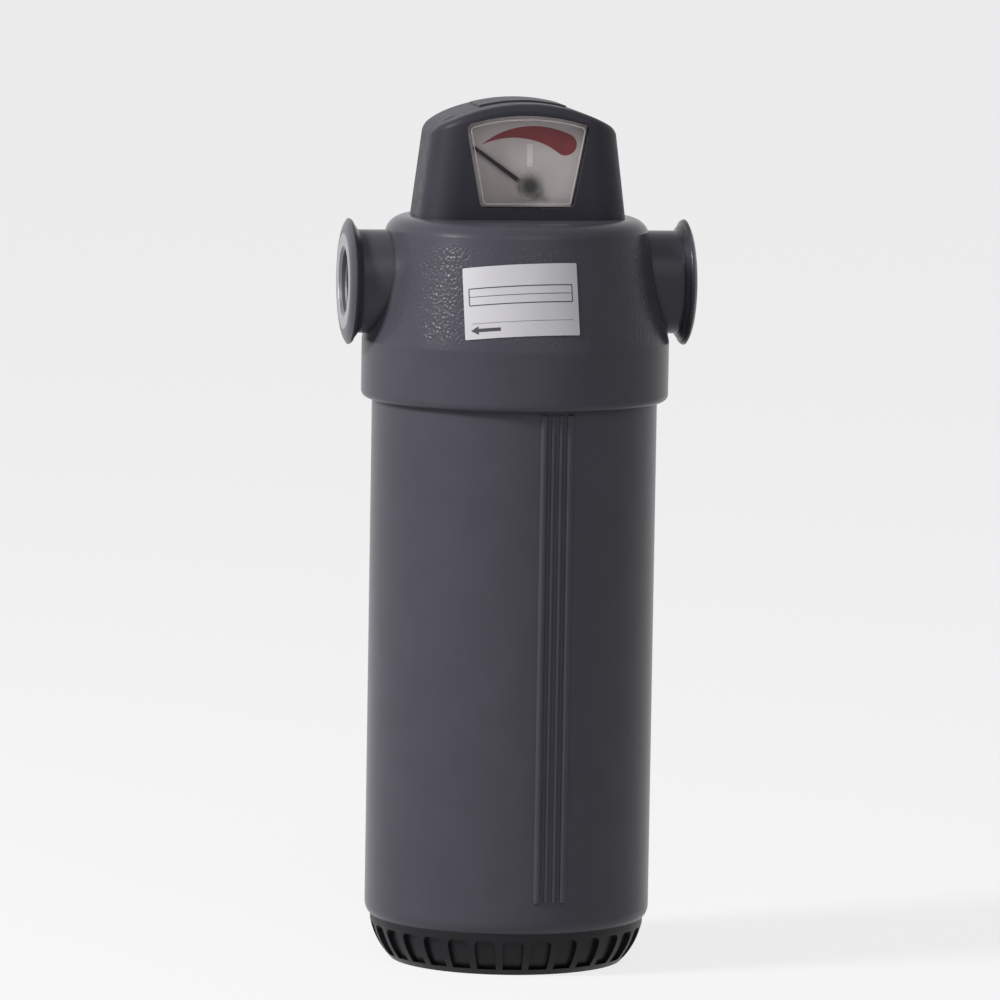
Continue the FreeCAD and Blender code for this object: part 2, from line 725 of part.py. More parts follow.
def make_head():
    """Die-cast head: a tapered cover with two rimmed ports, a duct and the element's spigot."""
    body = new_body("filter_head")
    cover = sketch_on(body, "cover", "XZ_Plane")
    outline(cover, [
        ("0", "skirt_low"),
        ("skirt_rad", "skirt_low"),
        ("skirt_rad", "skirt_top"),
        ("cone_top_rad", "cone_top", "head_round", 1),
        ("head_flat_rad", "head_top"),
        ("0", "head_top"),
    ])
    revolve(body, cover)
    fillet(body, "skirt_edge", "skirt_round", lambda e: is_ring(e, "skirt_rad", "skirt_low"))
    for side in (1, -1):
        port = sketch_on(body, f"port_{'in' if side > 0 else 'out'}", "XZ_Plane")
        port.setExpression("AttachmentOffset.Base.y", bind("port_z"))
        outline(port, [
            (f"{side} * port_inner_x", "0"),
            (f"{side} * port_inner_x", "port_neck_rad"),
            (f"{side} * (port_face - port_rim_thick)", "port_neck_rad", "port_rim_root", side),
            (f"{side} * (port_face - port_rim_thick + port_rim_root)", "port_neck_rad + port_rim_root"),
            (f"{side} * (port_face - port_rim_crest - port_rim_edge)", "port_rim_rad - port_rim_edge",
             "port_rim_edge", -side),
            (f"{side} * (port_face - port_rim_crest)", "port_rim_rad", "port_rim_front", -side),
            (f"{side} * port_face", "port_face_rad"),
            (f"{side} * port_face", "0"),
        ])
        revolve(body, port, "H_Axis")
    hollow = sketch_on(body, "hollow", "XZ_Plane")
    outline(hollow, [
        ("0", "skirt_low - past"),
        ("skirt_bore", "skirt_low - past"),
        ("skirt_bore", "seat_z"),
        ("head_bore", "seat_z"),
        ("head_bore", "cavity_low"),
        ("cavity_rad", "cavity_low"),
        ("cavity_rad", "roof_z - roof_round", "roof_round", 1),
        ("cavity_rad - roof_round", "roof_z"),
        ("0", "roof_z"),
    ])
    revolve(body, hollow, cut=True)
    spigot = sketch_on(body, "spigot", "XY_Plane", "spigot_low")
    ring(spigot, "0", "0", "spigot_rad")
    extrude(body, spigot, "roof_z - spigot_low + past")
    duct = sketch_on(body, "duct", "YZ_Plane")
    ring(duct, "0", "port_z", "duct_out")
    extrude(body, duct, "thread_end + past")
    riser = sketch_on(body, "tap_riser", "XY_Plane", "port_z + duct_rad")
    ring(riser, "tap_x", "0", "tap_rad + duct_wall")
    extrude(body, riser, "roof_z - port_z - duct_rad + past")
    elbow = sketch_on(body, "elbow", "XZ_Plane")
    outline(elbow, [
        ("0", "spigot_low - past"),
        ("socket_rad", "spigot_low - past"),
        ("socket_rad", "socket_top"),
        ("duct_rad", "socket_top"),
        ("duct_rad", "port_z", "duct_rad", 1),
        ("0", "port_z + duct_rad"),
    ])
    revolve(body, elbow, cut=True)
    for side, start in ((1, "0"), (-1, "cavity_rad - roof_round")):
        name = "in" if side > 0 else "out"
        passage = sketch_on(body, f"passage_{name}", "YZ_Plane", f"{side} * ({start})")
        ring(passage, "0", "port_z", "duct_rad")
        extrude(body, passage, f"port_face - ({start})", cut=True, backwards=side > 0)
        mouth = sketch_on(body, f"mouth_{name}", "XZ_Plane")
        mouth.setExpression("AttachmentOffset.Base.y", bind("port_z"))
        outline(mouth, [
            (f"{side} * thread_end", "0"),
            (f"{side} * thread_end", "thread_rad"),
            (f"{side} * (port_face - mouth_chamfer)", "thread_rad"),
            (f"{side} * port_face", "thread_rad + mouth_chamfer"),
            (f"{side} * (port_face + past)", "thread_rad + mouth_chamfer"),
            (f"{side} * (port_face + past)", "0"),
        ])
        revolve(body, mouth, "H_Axis", cut=True)
    taps = sketch_on(body, "taps", "XY_Plane", "head_top")
    ring(taps, "tap_x", "0", "tap_rad")
    ring(taps, "-tap_x", "0", "tap_rad")
    extrude(body, taps, "head_top - port_z - duct_rad + 2 * past", cut=True)
    fixings = sketch_on(body, "fixings", "XY_Plane", "head_top")
    for side in ("1", "-1"):
        ring(fixings, f"{side} * fixing_x", "fixing_y", "fixing_rad + screw_slack / 2")
    extrude(body, fixings, "roof_thick - fixing_blind", cut=True)
    return keep(body)


def make_label():
    """Thin rating plate that lies on the cone of the head."""
    body = new_body("rating_label")
    section = sketch_on(body, "section", "XZ_Plane")
    low_rad = "(cone_top_rad + label_gap + (cone_top - label_low) * cone_slope)"
    top_rad = "(cone_top_rad + label_gap + (cone_top - label_low - label_high) * cone_slope)"
    outline(section, [
        (low_rad, "label_low"),
        (f"{low_rad} + label_thick", "label_low"),
        (f"{top_rad} + label_thick", "label_low + label_high"),
        (top_rad, "label_low + label_high"),
    ])
    revolve(body, section, angle="label_arc", both_sides=True)
    place(body, turn_axis=FreeCAD.Vector(0, 0, 1), turn="-90 - label_turn")
    return keep(body)


def make_element():
    """Push-fit element: caps, inner core, media, outer core and foam sleeve in rings."""
    groove_rad = "element_neck - element_ring_cord + element_ring_proud"
    half = "(element_ring_cord / 2 + groove_slack)"
    grooves = []
    for name in ("low", "high"):
        grooves += [
            ("element_neck", f"element_ring_{name} - {half}"),
            (groove_rad, f"element_ring_{name} - {half}"),
            (groove_rad, f"element_ring_{name} + {half}"),
            ("element_neck", f"element_ring_{name} + {half}"),
        ]
    keep(turned_part("element_top_cap", [
        ("element_neck - element_neck_wall", "cap_in_top"),
        ("element_cap_rad - element_cap_wall", "cap_in_top"),
        ("element_cap_rad - element_cap_wall", "cap_in_top - element_cap_rim"),
        ("element_cap_rad", "cap_in_top - element_cap_rim"),
        ("element_cap_rad", "element_cap_top"),
        ("element_neck", "element_cap_top"),
        *grooves,
        ("element_neck", "element_neck_top"),
        ("element_neck - element_neck_wall", "element_neck_top"),
    ]))
    rings = []
    for name in ("low", "high"):
        label = f"element_ring_{name}"
        circle_rad = "element_neck - element_ring_cord / 2 + element_ring_proud"
        rings.append(seal_ring(label, circle_rad, label, "element_ring_cord"))
    keep(joined("element_o_rings", rings))
    layers = [
        ("inner_core", "core_rad", "(core_rad + core_wall)"),
        ("filter_media", "(core_rad + core_wall + layer_gap)", "media_rad"),
        ("outer_core", "(media_rad + layer_gap)", "(media_rad + layer_gap + outer_core_wall)"),
        ("foam_sleeve", "(foam_rad - foam_thick)", "foam_rad"),
    ]
    for label, inside, outside in layers:
        keep(turned_part(label, [
            (inside, "cap_in_low"),
            (outside, "cap_in_low"),
            (outside, "cap_in_top"),
            (inside, "cap_in_top"),
        ]))
    keep(turned_part("element_bottom_cap", [
        ("0", "element_low"),
        ("element_cap_rad", "element_low"),
        ("element_cap_rad", "cap_in_low + element_cap_rim"),
        ("element_cap_rad - element_cap_wall", "cap_in_low + element_cap_rim"),
        ("element_cap_rad - element_cap_wall", "cap_in_low"),
        ("0", "cap_in_low"),
    ]))


def make_drain():
    """Float drain: body with a seat, nut and washer below the floor, cage and float above."""
    body = turned_part("drain_body", [
        ("drain_outlet_rad", "drain_tail_low"),
        ("drain_tail_rad", "drain_tail_low"),
        ("drain_tail_rad", "drain_stem_low"),
        ("drain_stem", "drain_stem_low"),
        ("drain_stem", "bowl_floor_top"),
        ("drain_ring_rad - drain_ring_cord / 2 - groove_slack", "bowl_floor_top"),
        ("drain_ring_rad - drain_ring_cord / 2 - groove_slack", "bowl_floor_top + drain_ring_cord"),
        ("drain_ring_rad + drain_ring_cord / 2 + groove_slack", "bowl_floor_top + drain_ring_cord"),
        ("drain_ring_rad + drain_ring_cord / 2 + groove_slack", "bowl_floor_top"),
        ("drain_flange_rad", "bowl_floor_top"),
        ("drain_flange_rad", "drain_top"),
        ("drain_flare_rad", "drain_top"),
        ("drain_seat_rad", "drain_top - drain_seat_deep"),
        ("drain_outlet_rad", "bowl_floor_top - drain_seat_deep"),
    ])
    keep(body)
    ring_z = "bowl_floor_top + drain_ring_cord / 2"
    keep(seal_ring("drain_o_ring", "drain_ring_rad", ring_z, "drain_ring_cord"))
    keep(turned_part("drain_washer", [
        ("drain_hole_rad", "cap_high - drain_washer_thick"),
        ("drain_washer_rad", "cap_high - drain_washer_thick"),
        ("drain_washer_rad", "cap_high"),
        ("drain_hole_rad", "cap_high"),
    ]))
    nut = new_body("drain_nut")
    section = sketch_on(nut, "section", "XY_Plane", "cap_high - drain_washer_thick - drain_nut_high")
    corner = "drain_nut_across / sqrt(3)"
    outline(section, [(f"{corner} * cos({60 * k})", f"{corner} * sin({60 * k})") for k in range(6)])
    extrude(nut, section, "drain_nut_high")
    bore = sketch_on(nut, "bore", "XY_Plane", "cap_high - drain_washer_thick - drain_nut_high")
    ring(bore, "0", "0", "drain_hole_rad")
    extrude(nut, bore, "drain_nut_high", cut=True, backwards=True)
    keep(nut)
    knob = turned_part("drain_knob", [
        ("drain_tail_rad + knob_slack", "knob_low"),
        ("knob_rad - knob_chamfer", "knob_low"),
        ("knob_rad", "knob_low + knob_chamfer"),
        ("knob_rad", "knob_top"),
        ("drain_tail_rad + knob_slack", "knob_top"),
    ])
    grooves = sketch_on(knob, "grooves", "XY_Plane", "knob_low")
    ring(grooves, "knob_rad", "0", "knob_groove_rad")
    groove = extrude(knob, grooves, "knob_top - knob_low", cut=True, backwards=True)
    repeat_round(knob, groove, "knob_groove_count")
    keep(knob)
    cage = turned_part("drain_cage", [
        ("cage_rad - cage_wall", "drain_top"),
        ("cage_rad", "drain_top"),
        ("cage_rad", "cage_top"),
        ("cage_hole_rad", "cage_top"),
        ("cage_hole_rad", "cage_top - cage_roof"),
        ("cage_rad - cage_wall", "cage_top - cage_roof"),
    ])
    slots = sketch_on(cage, "slots", "XZ_Plane")
    outline(slots, [
        ("-cage_slot_wide / 2", "cage_slot_low"),
        ("cage_slot_wide / 2", "cage_slot_low"),
        ("cage_slot_wide / 2", "cage_slot_top"),
        ("-cage_slot_wide / 2", "cage_slot_top"),
    ])
    slot = extrude(cage, slots, "cage_rad + past", cut=True, backwards=True)
    repeat_round(cage, slot, "cage_slot_count")
    keep(cage)
    keep(turned_part("float", [
        ("valve_pin_rad + float_bore_slack", "float_low"),
        ("float_rad - float_round", "float_low", "float_round", 1),
        ("float_rad", "float_low + float_round"),
        ("float_rad", "float_top - float_round", "float_round", 1),
        ("float_rad - float_round", "float_top"),
        ("float_hollow_rad", "float_top"),
        ("float_hollow_rad", "float_top - float_hollow_deep"),
        ("valve_pin_rad + float_bore_slack", "float_top - float_hollow_deep"),
    ]))
    keep(turned_part("valve_pin", [
        ("0", "drain_top - valve_tip_down"),
        ("valve_tip_rad", "drain_top - valve_tip_down"),
        ("valve_pin_rad", "valve_cone_low"),
        ("valve_pin_rad", "float_top - float_hollow_deep"),
        ("valve_head_rad", "float_top - float_hollow_deep"),
        ("valve_head_rad", "float_top - float_hollow_deep + valve_head_thick"),
        ("0", "float_top - float_hollow_deep + valve_head_thick"),
    ]))


def along_y(edge):
    """True for a straight edge that runs from front to back."""
    if not isinstance(edge.Curve, Part.Line):
        return False
    return abs(edge.Curve.Direction.y) > ALONG


def rounded_box(sketch, half_wide, half_deep, corner):
    """A rectangle about the origin with four round corners."""
    outline(sketch, [
        (f"{half_wide} - {corner}", f"-{half_deep}", corner, 1),
        (half_wide, f"{corner} - {half_deep}"),
        (half_wide, f"{half_deep} - {corner}", corner, 1),
        (f"{half_wide} - {corner}", half_deep),
        (f"{corner} - {half_wide}", half_deep, corner, 1),
        (f"-{half_wide}", f"{half_deep} - {corner}"),
        (f"-{half_wide}", f"{corner} - {half_deep}", corner, 1),
        (f"{corner} - {half_wide}", f"-{half_deep}"),
    ])


def case_block(name, inset, low, corner, rim_round):
    """The indicator housing's outer form as one block, drawn in by an inset: tapered sides
    from a loft, a crown cut from an arch that turns down at both shoulders, and a round rim."""
    body = new_body(name)
    sections = []
    for level, z, half in (("low", low, "case_low_half"), ("top", "(case_top + past)", "case_top_half")):
        section = sketch_on(body, level, "XY_Plane", z)
        half_deep = f"(case_half_deep - {inset})"
        rounded_box(section, f"({half} - {inset})", half_deep, corner)
        sections.append(section)
    loft = body.newObject("PartDesign::AdditiveLoft", f"{name}_walls")
    loft.Profile = sections[0]
    loft.Sections = sections[1:]
    loft.Ruled = True
    crown = f"(case_crown_round - {inset})"
    shoulder = f"(case_shoulder_round - {inset})"
    join_x = f"({crown} * bend_x / bend_arm)"
    join_z = f"(crown_centre + {crown} * bend_up / bend_arm)"
    sky = "(case_top + 2 * past)"
    above = sketch_on(body, "above", "XZ_Plane", "-case_half_deep - past")
    outline(above, [
        (f"bend_x + {shoulder}", "bend_z", shoulder, 1),
        (join_x, join_z, crown, 1),
        (f"-{join_x}", join_z, shoulder, 1),
        (f"-bend_x - {shoulder}", "bend_z"),
        (f"-bend_x - {shoulder}", sky),
        (f"bend_x + {shoulder}", sky),
    ])
    extrude(body, above, "2 * case_half_deep + 2 * past", cut=True, backwards=True)
    middle = number("head_top + case_high / 2")
    fillet(body, "rim", rim_round, lambda e: e.BoundBox.ZMin > middle)
    return body


def window_block(body, name, grow, back, front):
    """A block with the window's outline, grown by a formula, between two depths."""
    sketch = sketch_on(body, name, "XZ_Plane", back)
    side_top = f"window_top + {grow}"
    outline(sketch, [
        (f"-(window_low_half + {grow})", f"window_low - {grow}"),
        (f"window_low_half + {grow}", f"window_low - {grow}"),
        (f"window_top_half + {grow}", side_top, "window_arch_round", 1),
        (f"-(window_top_half + {grow})", side_top),
    ])
    return extrude(body, sketch, f"({front}) - ({back})")


def box(label, x, y, z, long, deep, high):
    """A plain block given by its low corner and three lengths."""
    block = doc.addObject("Part::Box", label)
    for field, formula in (("Length", long), ("Width", deep), ("Height", high)):
        block.setExpression(field, bind(formula))
    place(block, x, y, z)
    return block


def boolean(kind, label, base, tool):
    """Part::Cut or Part::Common of two objects."""
    result = doc.addObject(kind, label)
    result.Label = label
    result.Base = base
    result.Tool = tool
    return result


def make_indicator_case():
    """Front and rear shells of the indicator, split at the parting plane."""
    outer = case_block("case_outside", "0", "head_top", "case_corner_round", "case_edge_round")
    inner = case_block("case_inside", "case_wall", "(head_top - past)",
                       "case_inner_corner", "case_inner_round")
    shell = boolean("Part::Cut", "case_shell", outer, inner)
    opening = new_body("window_opening")
    window_block(opening, "outline", "window_slack", "wall_in - past", "(case_half_deep + past)")
    fillet(opening, "corners", "window_corner", along_y)
    notch = box("lens_notch", "-lens_notch_half", "-case_half_deep - past",
                "window_low - window_slack - lens_notch_high",
                "2 * lens_notch_half", "lens_notch_deep + past", "lens_notch_high + past")
    front_room = box("front_room", "-case_low_half - past", "-case_half_deep - past", "head_top - past",
                     "2 * case_low_half + 2 * past", "case_half_deep + past - parting_y",
                     "case_high + 2 * past")
    rear_room = box("rear_room", "-case_low_half - past", "-parting_y", "head_top - past",
                    "2 * case_low_half + 2 * past", "case_half_deep + past + parting_y",
                    "case_high + 2 * past")
    front_shell = boolean("Part::Common", "front_shell", shell, front_room)
    openings = joined("case_openings", [opening, notch])
    keep(boolean("Part::Cut", "indicator_front_case", eased("front_eased", front_shell, inner), openings))
    rear_shell = boolean("Part::Common", "rear_shell", shell, rear_room)
    crested = doc.addObject("Part::Fuse", "crested_shell")
    crested.Base = eased("rear_eased", rear_shell, inner)
    crested.Tool = make_crest()
    slots = [box(f"clip_slot_{name}", f"{x} - slot_wide / 2", "-parting_y - past", "case_top - slot_low",
                 "slot_wide", "slot_deep + past", "slot_low + past")
             for name, x in (("left", "-slot_x"), ("right", "slot_x"))]
    keep(boolean("Part::Cut", "indicator_rear_case", crested, joined("clip_slots", slots)))


def eased(label, shell, inner):
    """A shell with a small chamfer along the outer edge of its parting plane."""
    doc.recompute()
    plane = -number("parting_y")
    ground = number("head_top")
    outside = number("case_wall / 2")

    def on_parting(edge):
        flat = abs(edge.BoundBox.YMin - plane) < NEAR and abs(edge.BoundBox.YMax - plane) < NEAR
        middle = edge.valueAt((edge.FirstParameter + edge.LastParameter) / 2)
        return flat and edge.BoundBox.ZMax > ground + NEAR and \
            inner.Shape.distToShape(Part.Vertex(middle))[0] > outside

    chamfer = doc.addObject("Part::Chamfer", label)
    chamfer.Base = shell
    size = number("parting_chamfer")
    chamfer.Edges = [(i, size, size) for i, e in enumerate(shell.Shape.Edges, start=1) if on_parting(e)]
    return chamfer


def make_crest():
    """Raised pad on top of the rear shell, which follows the crown's arch."""
    body = new_body("crest")
    section = sketch_on(body, "section", "XZ_Plane", "-crest_back")
    top_rad = "(case_crown_round + crest_proud)"
    low_rad = "(case_crown_round - case_wall / 2)"
    centre_z = "(case_top - case_crown_round)"
    top_z = f"{centre_z} + sqrt({top_rad} ^ 2 - crest_half ^ 2)"
    low_z = f"{centre_z} + sqrt({low_rad} ^ 2 - crest_half ^ 2)"
    outline(section, [
        ("crest_half", top_z, top_rad, 1),
        ("-crest_half", top_z),
        ("-crest_half", low_z, low_rad, -1),
        ("crest_half", low_z),
    ])
    extrude(body, section, "crest_back + crest_front")
    low = number(low_z) + number("crest_proud")
    fillet(body, "edges", "crest_edge_round", lambda e: e.CenterOfMass.z > low and e.BoundBox.ZMin > low)
    return body


def make_window():
    """Window lens with a captive flange, its gasket and the dial plate behind it."""
    lens = new_body("window_lens")
    window_block(lens, "flange", "lens_flange", "lens_back", "wall_in")
    window_block(lens, "pane", "0", "lens_back", "(case_half_deep - lens_recess)")
    fillet(lens, "corners", "window_corner", along_y)
    boss = sketch_on(lens, "boss", "XZ_Plane", "lens_back")
    ring(boss, "0", "pivot_z", "lens_boss_rad")
    extrude(lens, boss, "lens_boss_deep", backwards=True)
    keep(lens)
    gasket = new_body("window_gasket")
    window_block(gasket, "outside", "gasket_wide", "dial_front", "lens_back")
    fillet(gasket, "corners", "window_corner", along_y)
    hollow = sketch_on(gasket, "hollow", "XZ_Plane", "dial_front")
    outline(hollow, [
        ("-window_low_half", "window_low"),
        ("window_low_half", "window_low"),
        ("window_top_half", "window_top", "window_arch_round", 1),
        ("-window_top_half", "window_top"),
    ])
    extrude(gasket, hollow, "gasket_thick", cut=True, backwards=True)
    keep(gasket)
    dial = new_body("dial_plate")
    window_block(dial, "outline", "dial_margin", "dial_back", "dial_front")
    fillet(dial, "corners", "window_corner", along_y)
    hole = sketch_on(dial, "hole", "XZ_Plane", "dial_back")
    ring(hole, "0", "pivot_z", "arbor_rad + dial_hole_slack")
    extrude(dial, hole, "dial_thick", cut=True, backwards=True)
    keep(dial)


def make_pointer():
    """Pointer, its arbor and the magnet that turns it, placed at the rest angle."""
    pointer = new_body("pointer")
    arm = sketch_on(pointer, "arm", "XZ_Plane", "pointer_back")
    outline(arm, [
        ("-pointer_wide / 2", "-pointer_tail"),
        ("pointer_wide / 2", "-pointer_tail"),
        ("pointer_tip_wide / 2", "pointer_long"),
        ("-pointer_tip_wide / 2", "pointer_long"),
    ])
    extrude(pointer, arm, "pointer_thick")
    hub = sketch_on(pointer, "hub", "XZ_Plane", "pointer_back")
    ring(hub, "0", "0", "hub_rad")
    extrude(pointer, hub, "hub_thick")
    place(pointer, z="pivot_z", turn_axis=FreeCAD.Vector(0, 1, 0), turn="-pointer_rest")
    keep(pointer)
    arbor = new_body("pointer_arbor")
    rod = sketch_on(arbor, "rod", "XZ_Plane", "magnet_front")
    ring(rod, "0", "0", "arbor_rad")
    extrude(arbor, rod, "pointer_back - magnet_front")
    place(arbor, z="pivot_z")
    keep(arbor)
    magnet = new_body("pointer_magnet")
    disc = sketch_on(magnet, "disc", "XZ_Plane", "magnet_front - pointer_magnet_thick")
    ring(disc, "0", "0", "pointer_magnet_rad")
    extrude(magnet, disc, "pointer_magnet_thick")
    place(magnet, z="pivot_z")
    keep(magnet)


def make_indicator_base():
    """Moulded base of the indicator: plate, piston cylinder, pressure riser and dial carrier."""
    body = new_body("indicator_base")
    plate = sketch_on(body, "plate", "XY_Plane", "head_top")
    half_wide = "(case_low_half - plate_inset)"
    half_deep = "(case_half_deep - plate_inset)"
    outline(plate, [
        (f"-{half_wide}", f"-{half_deep}"), (half_wide, f"-{half_deep}"),
        (half_wide, half_deep), (f"-{half_wide}", half_deep),
    ])
    extrude(body, plate, "plate_thick")
    fillet(body, "corners", "case_corner_round - plate_inset",
           lambda e: isinstance(e.Curve, Part.Line) and abs(e.Curve.Direction.z) > ALONG)
    cylinder = sketch_on(body, "cylinder", "XY_Plane", "head_top")
    ring(cylinder, "0", "0", "cylinder_rad")
    extrude(body, cylinder, "cylinder_top - head_top")
    riser = sketch_on(body, "riser", "XY_Plane", "head_top")
    riser_end = "-(cylinder_rad + piston_rad) / 2"
    outline(riser, [
        ("-tap_x - riser_wide / 2", "-riser_wide / 2"), (riser_end, "-riser_wide / 2"),
        (riser_end, "riser_wide / 2"), ("-tap_x - riser_wide / 2", "riser_wide / 2"),
    ])
    extrude(body, riser, "riser_top - head_top")
    window_block(body, "carrier", "dial_margin", "carrier_back", "dial_back")
    foot = sketch_on(body, "carrier_foot", "XZ_Plane", "carrier_back")
    outline(foot, [
        ("-window_low_half", "head_top"), ("window_low_half", "head_top"),
        ("window_low_half", "window_low"), ("-window_low_half", "window_low"),
    ])
    extrude(body, foot, "carrier_thick")
    bore = sketch_on(body, "bore", "XY_Plane", "cylinder_top")
    ring(bore, "0", "0", "cylinder_bore")
    extrude(body, bore, "cylinder_top - piston_low + piston_slack", cut=True)
    bearing = sketch_on(body, "bearing", "XZ_Plane", "dial_back")
    ring(bearing, "0", "pivot_z", "arbor_rad + arbor_slack")
    extrude(body, bearing, "carrier_thick", cut=True)
    inlet = sketch_on(body, "inlet", "YZ_Plane")
    ring(inlet, "0", "head_top + plate_thick / 2", "gallery_rad")
    extrude(body, inlet, "tap_x", cut=True, backwards=True)
    under = sketch_on(body, "under_piston", "XY_Plane", "piston_low")
    ring(under, "0", "0", "gallery_rad")
    extrude(body, under, "piston_low - head_top - plate_thick / 2", cut=True)
    upper = sketch_on(body, "riser_hole", "XY_Plane", "head_top")
    ring(upper, "-tap_x", "0", "gallery_rad")
    extrude(body, upper, "riser_hole_z - head_top", cut=True, backwards=True)
    cross = sketch_on(body, "cross_hole", "YZ_Plane", "-tap_x")
    ring(cross, "0", "riser_hole_z", "gallery_rad")
    extrude(body, cross, "tap_x", cut=True, backwards=True)
    seats = sketch_on(body, "ring_seats", "XY_Plane", "head_top")
    fixings = sketch_on(body, "fixings", "XY_Plane", "head_top")
    for side in ("1", "-1"):
        ring(seats, f"{side} * tap_x", "0", "tap_ring_rad + tap_ring_cord / 2 + groove_slack")
        ring(fixings, f"{side} * fixing_x", "fixing_y", "fixing_rad + screw_slack")
    extrude(body, seats, "tap_ring_cord + ring_seat_gap", cut=True, backwards=True)
    extrude(body, fixings, "plate_thick", cut=True, backwards=True)
    return keep(body)


def make_mechanism():
    """Sensing piston with its magnet and return spring, the end plug, seals and screws."""
    keep(turned_part("sensing_piston", [
        ("0", "piston_low"),
        ("piston_rad", "piston_low"),
        ("piston_rad", "piston_top"),
        ("piston_magnet_rad + magnet_slack", "piston_top"),
        ("piston_magnet_rad + magnet_slack", "piston_top - piston_magnet_high"),
        ("0", "piston_top - piston_magnet_high"),
    ]))
    keep(turned_part("piston_magnet", [
        ("0", "piston_top - piston_magnet_high"),
        ("piston_magnet_rad", "piston_top - piston_magnet_high"),
        ("piston_magnet_rad", "piston_top"),
        ("0", "piston_top"),
    ]))
    spring = new_body("piston_spring")
    wire = sketch_on(spring, "wire", "XZ_Plane")
    wire_low = "(piston_top + spring_play)"
    outline(wire, [
        ("spring_rad - spring_wire / 2", wire_low),
        ("spring_rad + spring_wire / 2", wire_low),
        ("spring_rad + spring_wire / 2", f"{wire_low} + spring_wire"),
        ("spring_rad - spring_wire / 2", f"{wire_low} + spring_wire"),
    ])
    coil = spring.newObject("PartDesign::AdditiveHelix", "piston_spring_coil")
    coil.Profile = wire
    coil.ReferenceAxis = (wire, ["V_Axis"])
    coil.Mode = 0
    rise = "(spring_room - spring_wire - 2 * spring_play)"
    coil.Pitch = number(f"{rise} / spring_turns")
    coil.setExpression("Pitch", bind(f"{rise} / spring_turns"))
    coil.Height = number(rise)
    coil.setExpression("Height", bind(rise))
    keep(spring)
    keep(turned_part("piston_end_plug", [
        ("0", "spring_top"),
        ("piston_rad", "spring_top"),
        ("piston_rad", "cylinder_top"),
        ("plug_head_rad", "cylinder_top"),
        ("plug_head_rad", "cylinder_top + plug_head_high"),
        ("0", "cylinder_top + plug_head_high"),
    ]))
    rings = []
    screws = []
    for name, side in (("in", "1"), ("out", "-1")):
        ring_z = "head_top + tap_ring_cord / 2"
        tap_ring = seal_ring(f"tap_ring_{name}", "tap_ring_rad", ring_z, "tap_ring_cord")
        place(tap_ring, x=f"{side} * tap_x")
        rings.append(tap_ring)
        screw = turned_part(f"indicator_screw_{name}", [
            ("0", "plate_thick - fixing_long"),
            ("fixing_rad", "plate_thick - fixing_long"),
            ("fixing_rad", "plate_thick"),
            ("fixing_head_rad", "plate_thick"),
            ("fixing_head_rad", "plate_thick + fixing_head_high"),
            ("0", "plate_thick + fixing_head_high"),
        ])
        place(screw, f"{side} * fixing_x", "fixing_y", "head_top")
        screws.append(screw)
    keep(joined("tap_o_rings", rings))
    keep(joined("indicator_screws", screws))


def main():
    fill_sheet()
    make_base_cap()
    make_base_cap_screws()
    make_bowl()
    make_bowl_o_ring()
    make_head()
    make_label()
    make_element()
    make_drain()
    make_indicator_case()
    make_window()
    make_pointer()
    make_indicator_base()
    make_mechanism()
    doc.recompute()
    check()
    save()


def check():
    """Stop if any object failed or any sub-part has no sound solid."""
    for thing in doc.Objects:
        if "Invalid" in thing.State or "Error" in thing.State:
            raise RuntimeError(f"{thing.Label} failed: {thing.State}")
    for thing in nodes:
        if thing.Shape.isNull() or not thing.Shape.isValid() or not thing.Shape.Solids:
            raise RuntimeError(f"{thing.Label} has no sound solid")


def save():
    """Write each sub-part to its own file."""
    os.makedirs("parts", exist_ok=True)
    for thing in nodes:
        thing.Shape.exportStep(f"parts/{thing.Label}.step")
        print(thing.Label, len(thing.Shape.Solids), round(thing.Shape.Volume, 1))


main()
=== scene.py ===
# %% [markdown]
# # A micro filter for compressed air
#
# This lesson dresses a finished CAD model. The model is a filter with a grey cast head, a long
# grey bowl, a black base and a small charcoal housing on top, which holds a dial. Its solids
# come in as they are, and the script never moves or changes them.
#
# What is added here is what a CAD model lacks: the finish of each surface, the printed film on
# the head, the marks on the dial, the painted highlight on the window's edge and the window's
# frosted spot, the screw threads, and a wire spring. Lengths are written in millimetres and
# turned into metres when a mesh is made.

import json
import math

import bpy
import numpy as np
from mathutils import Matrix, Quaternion, Vector


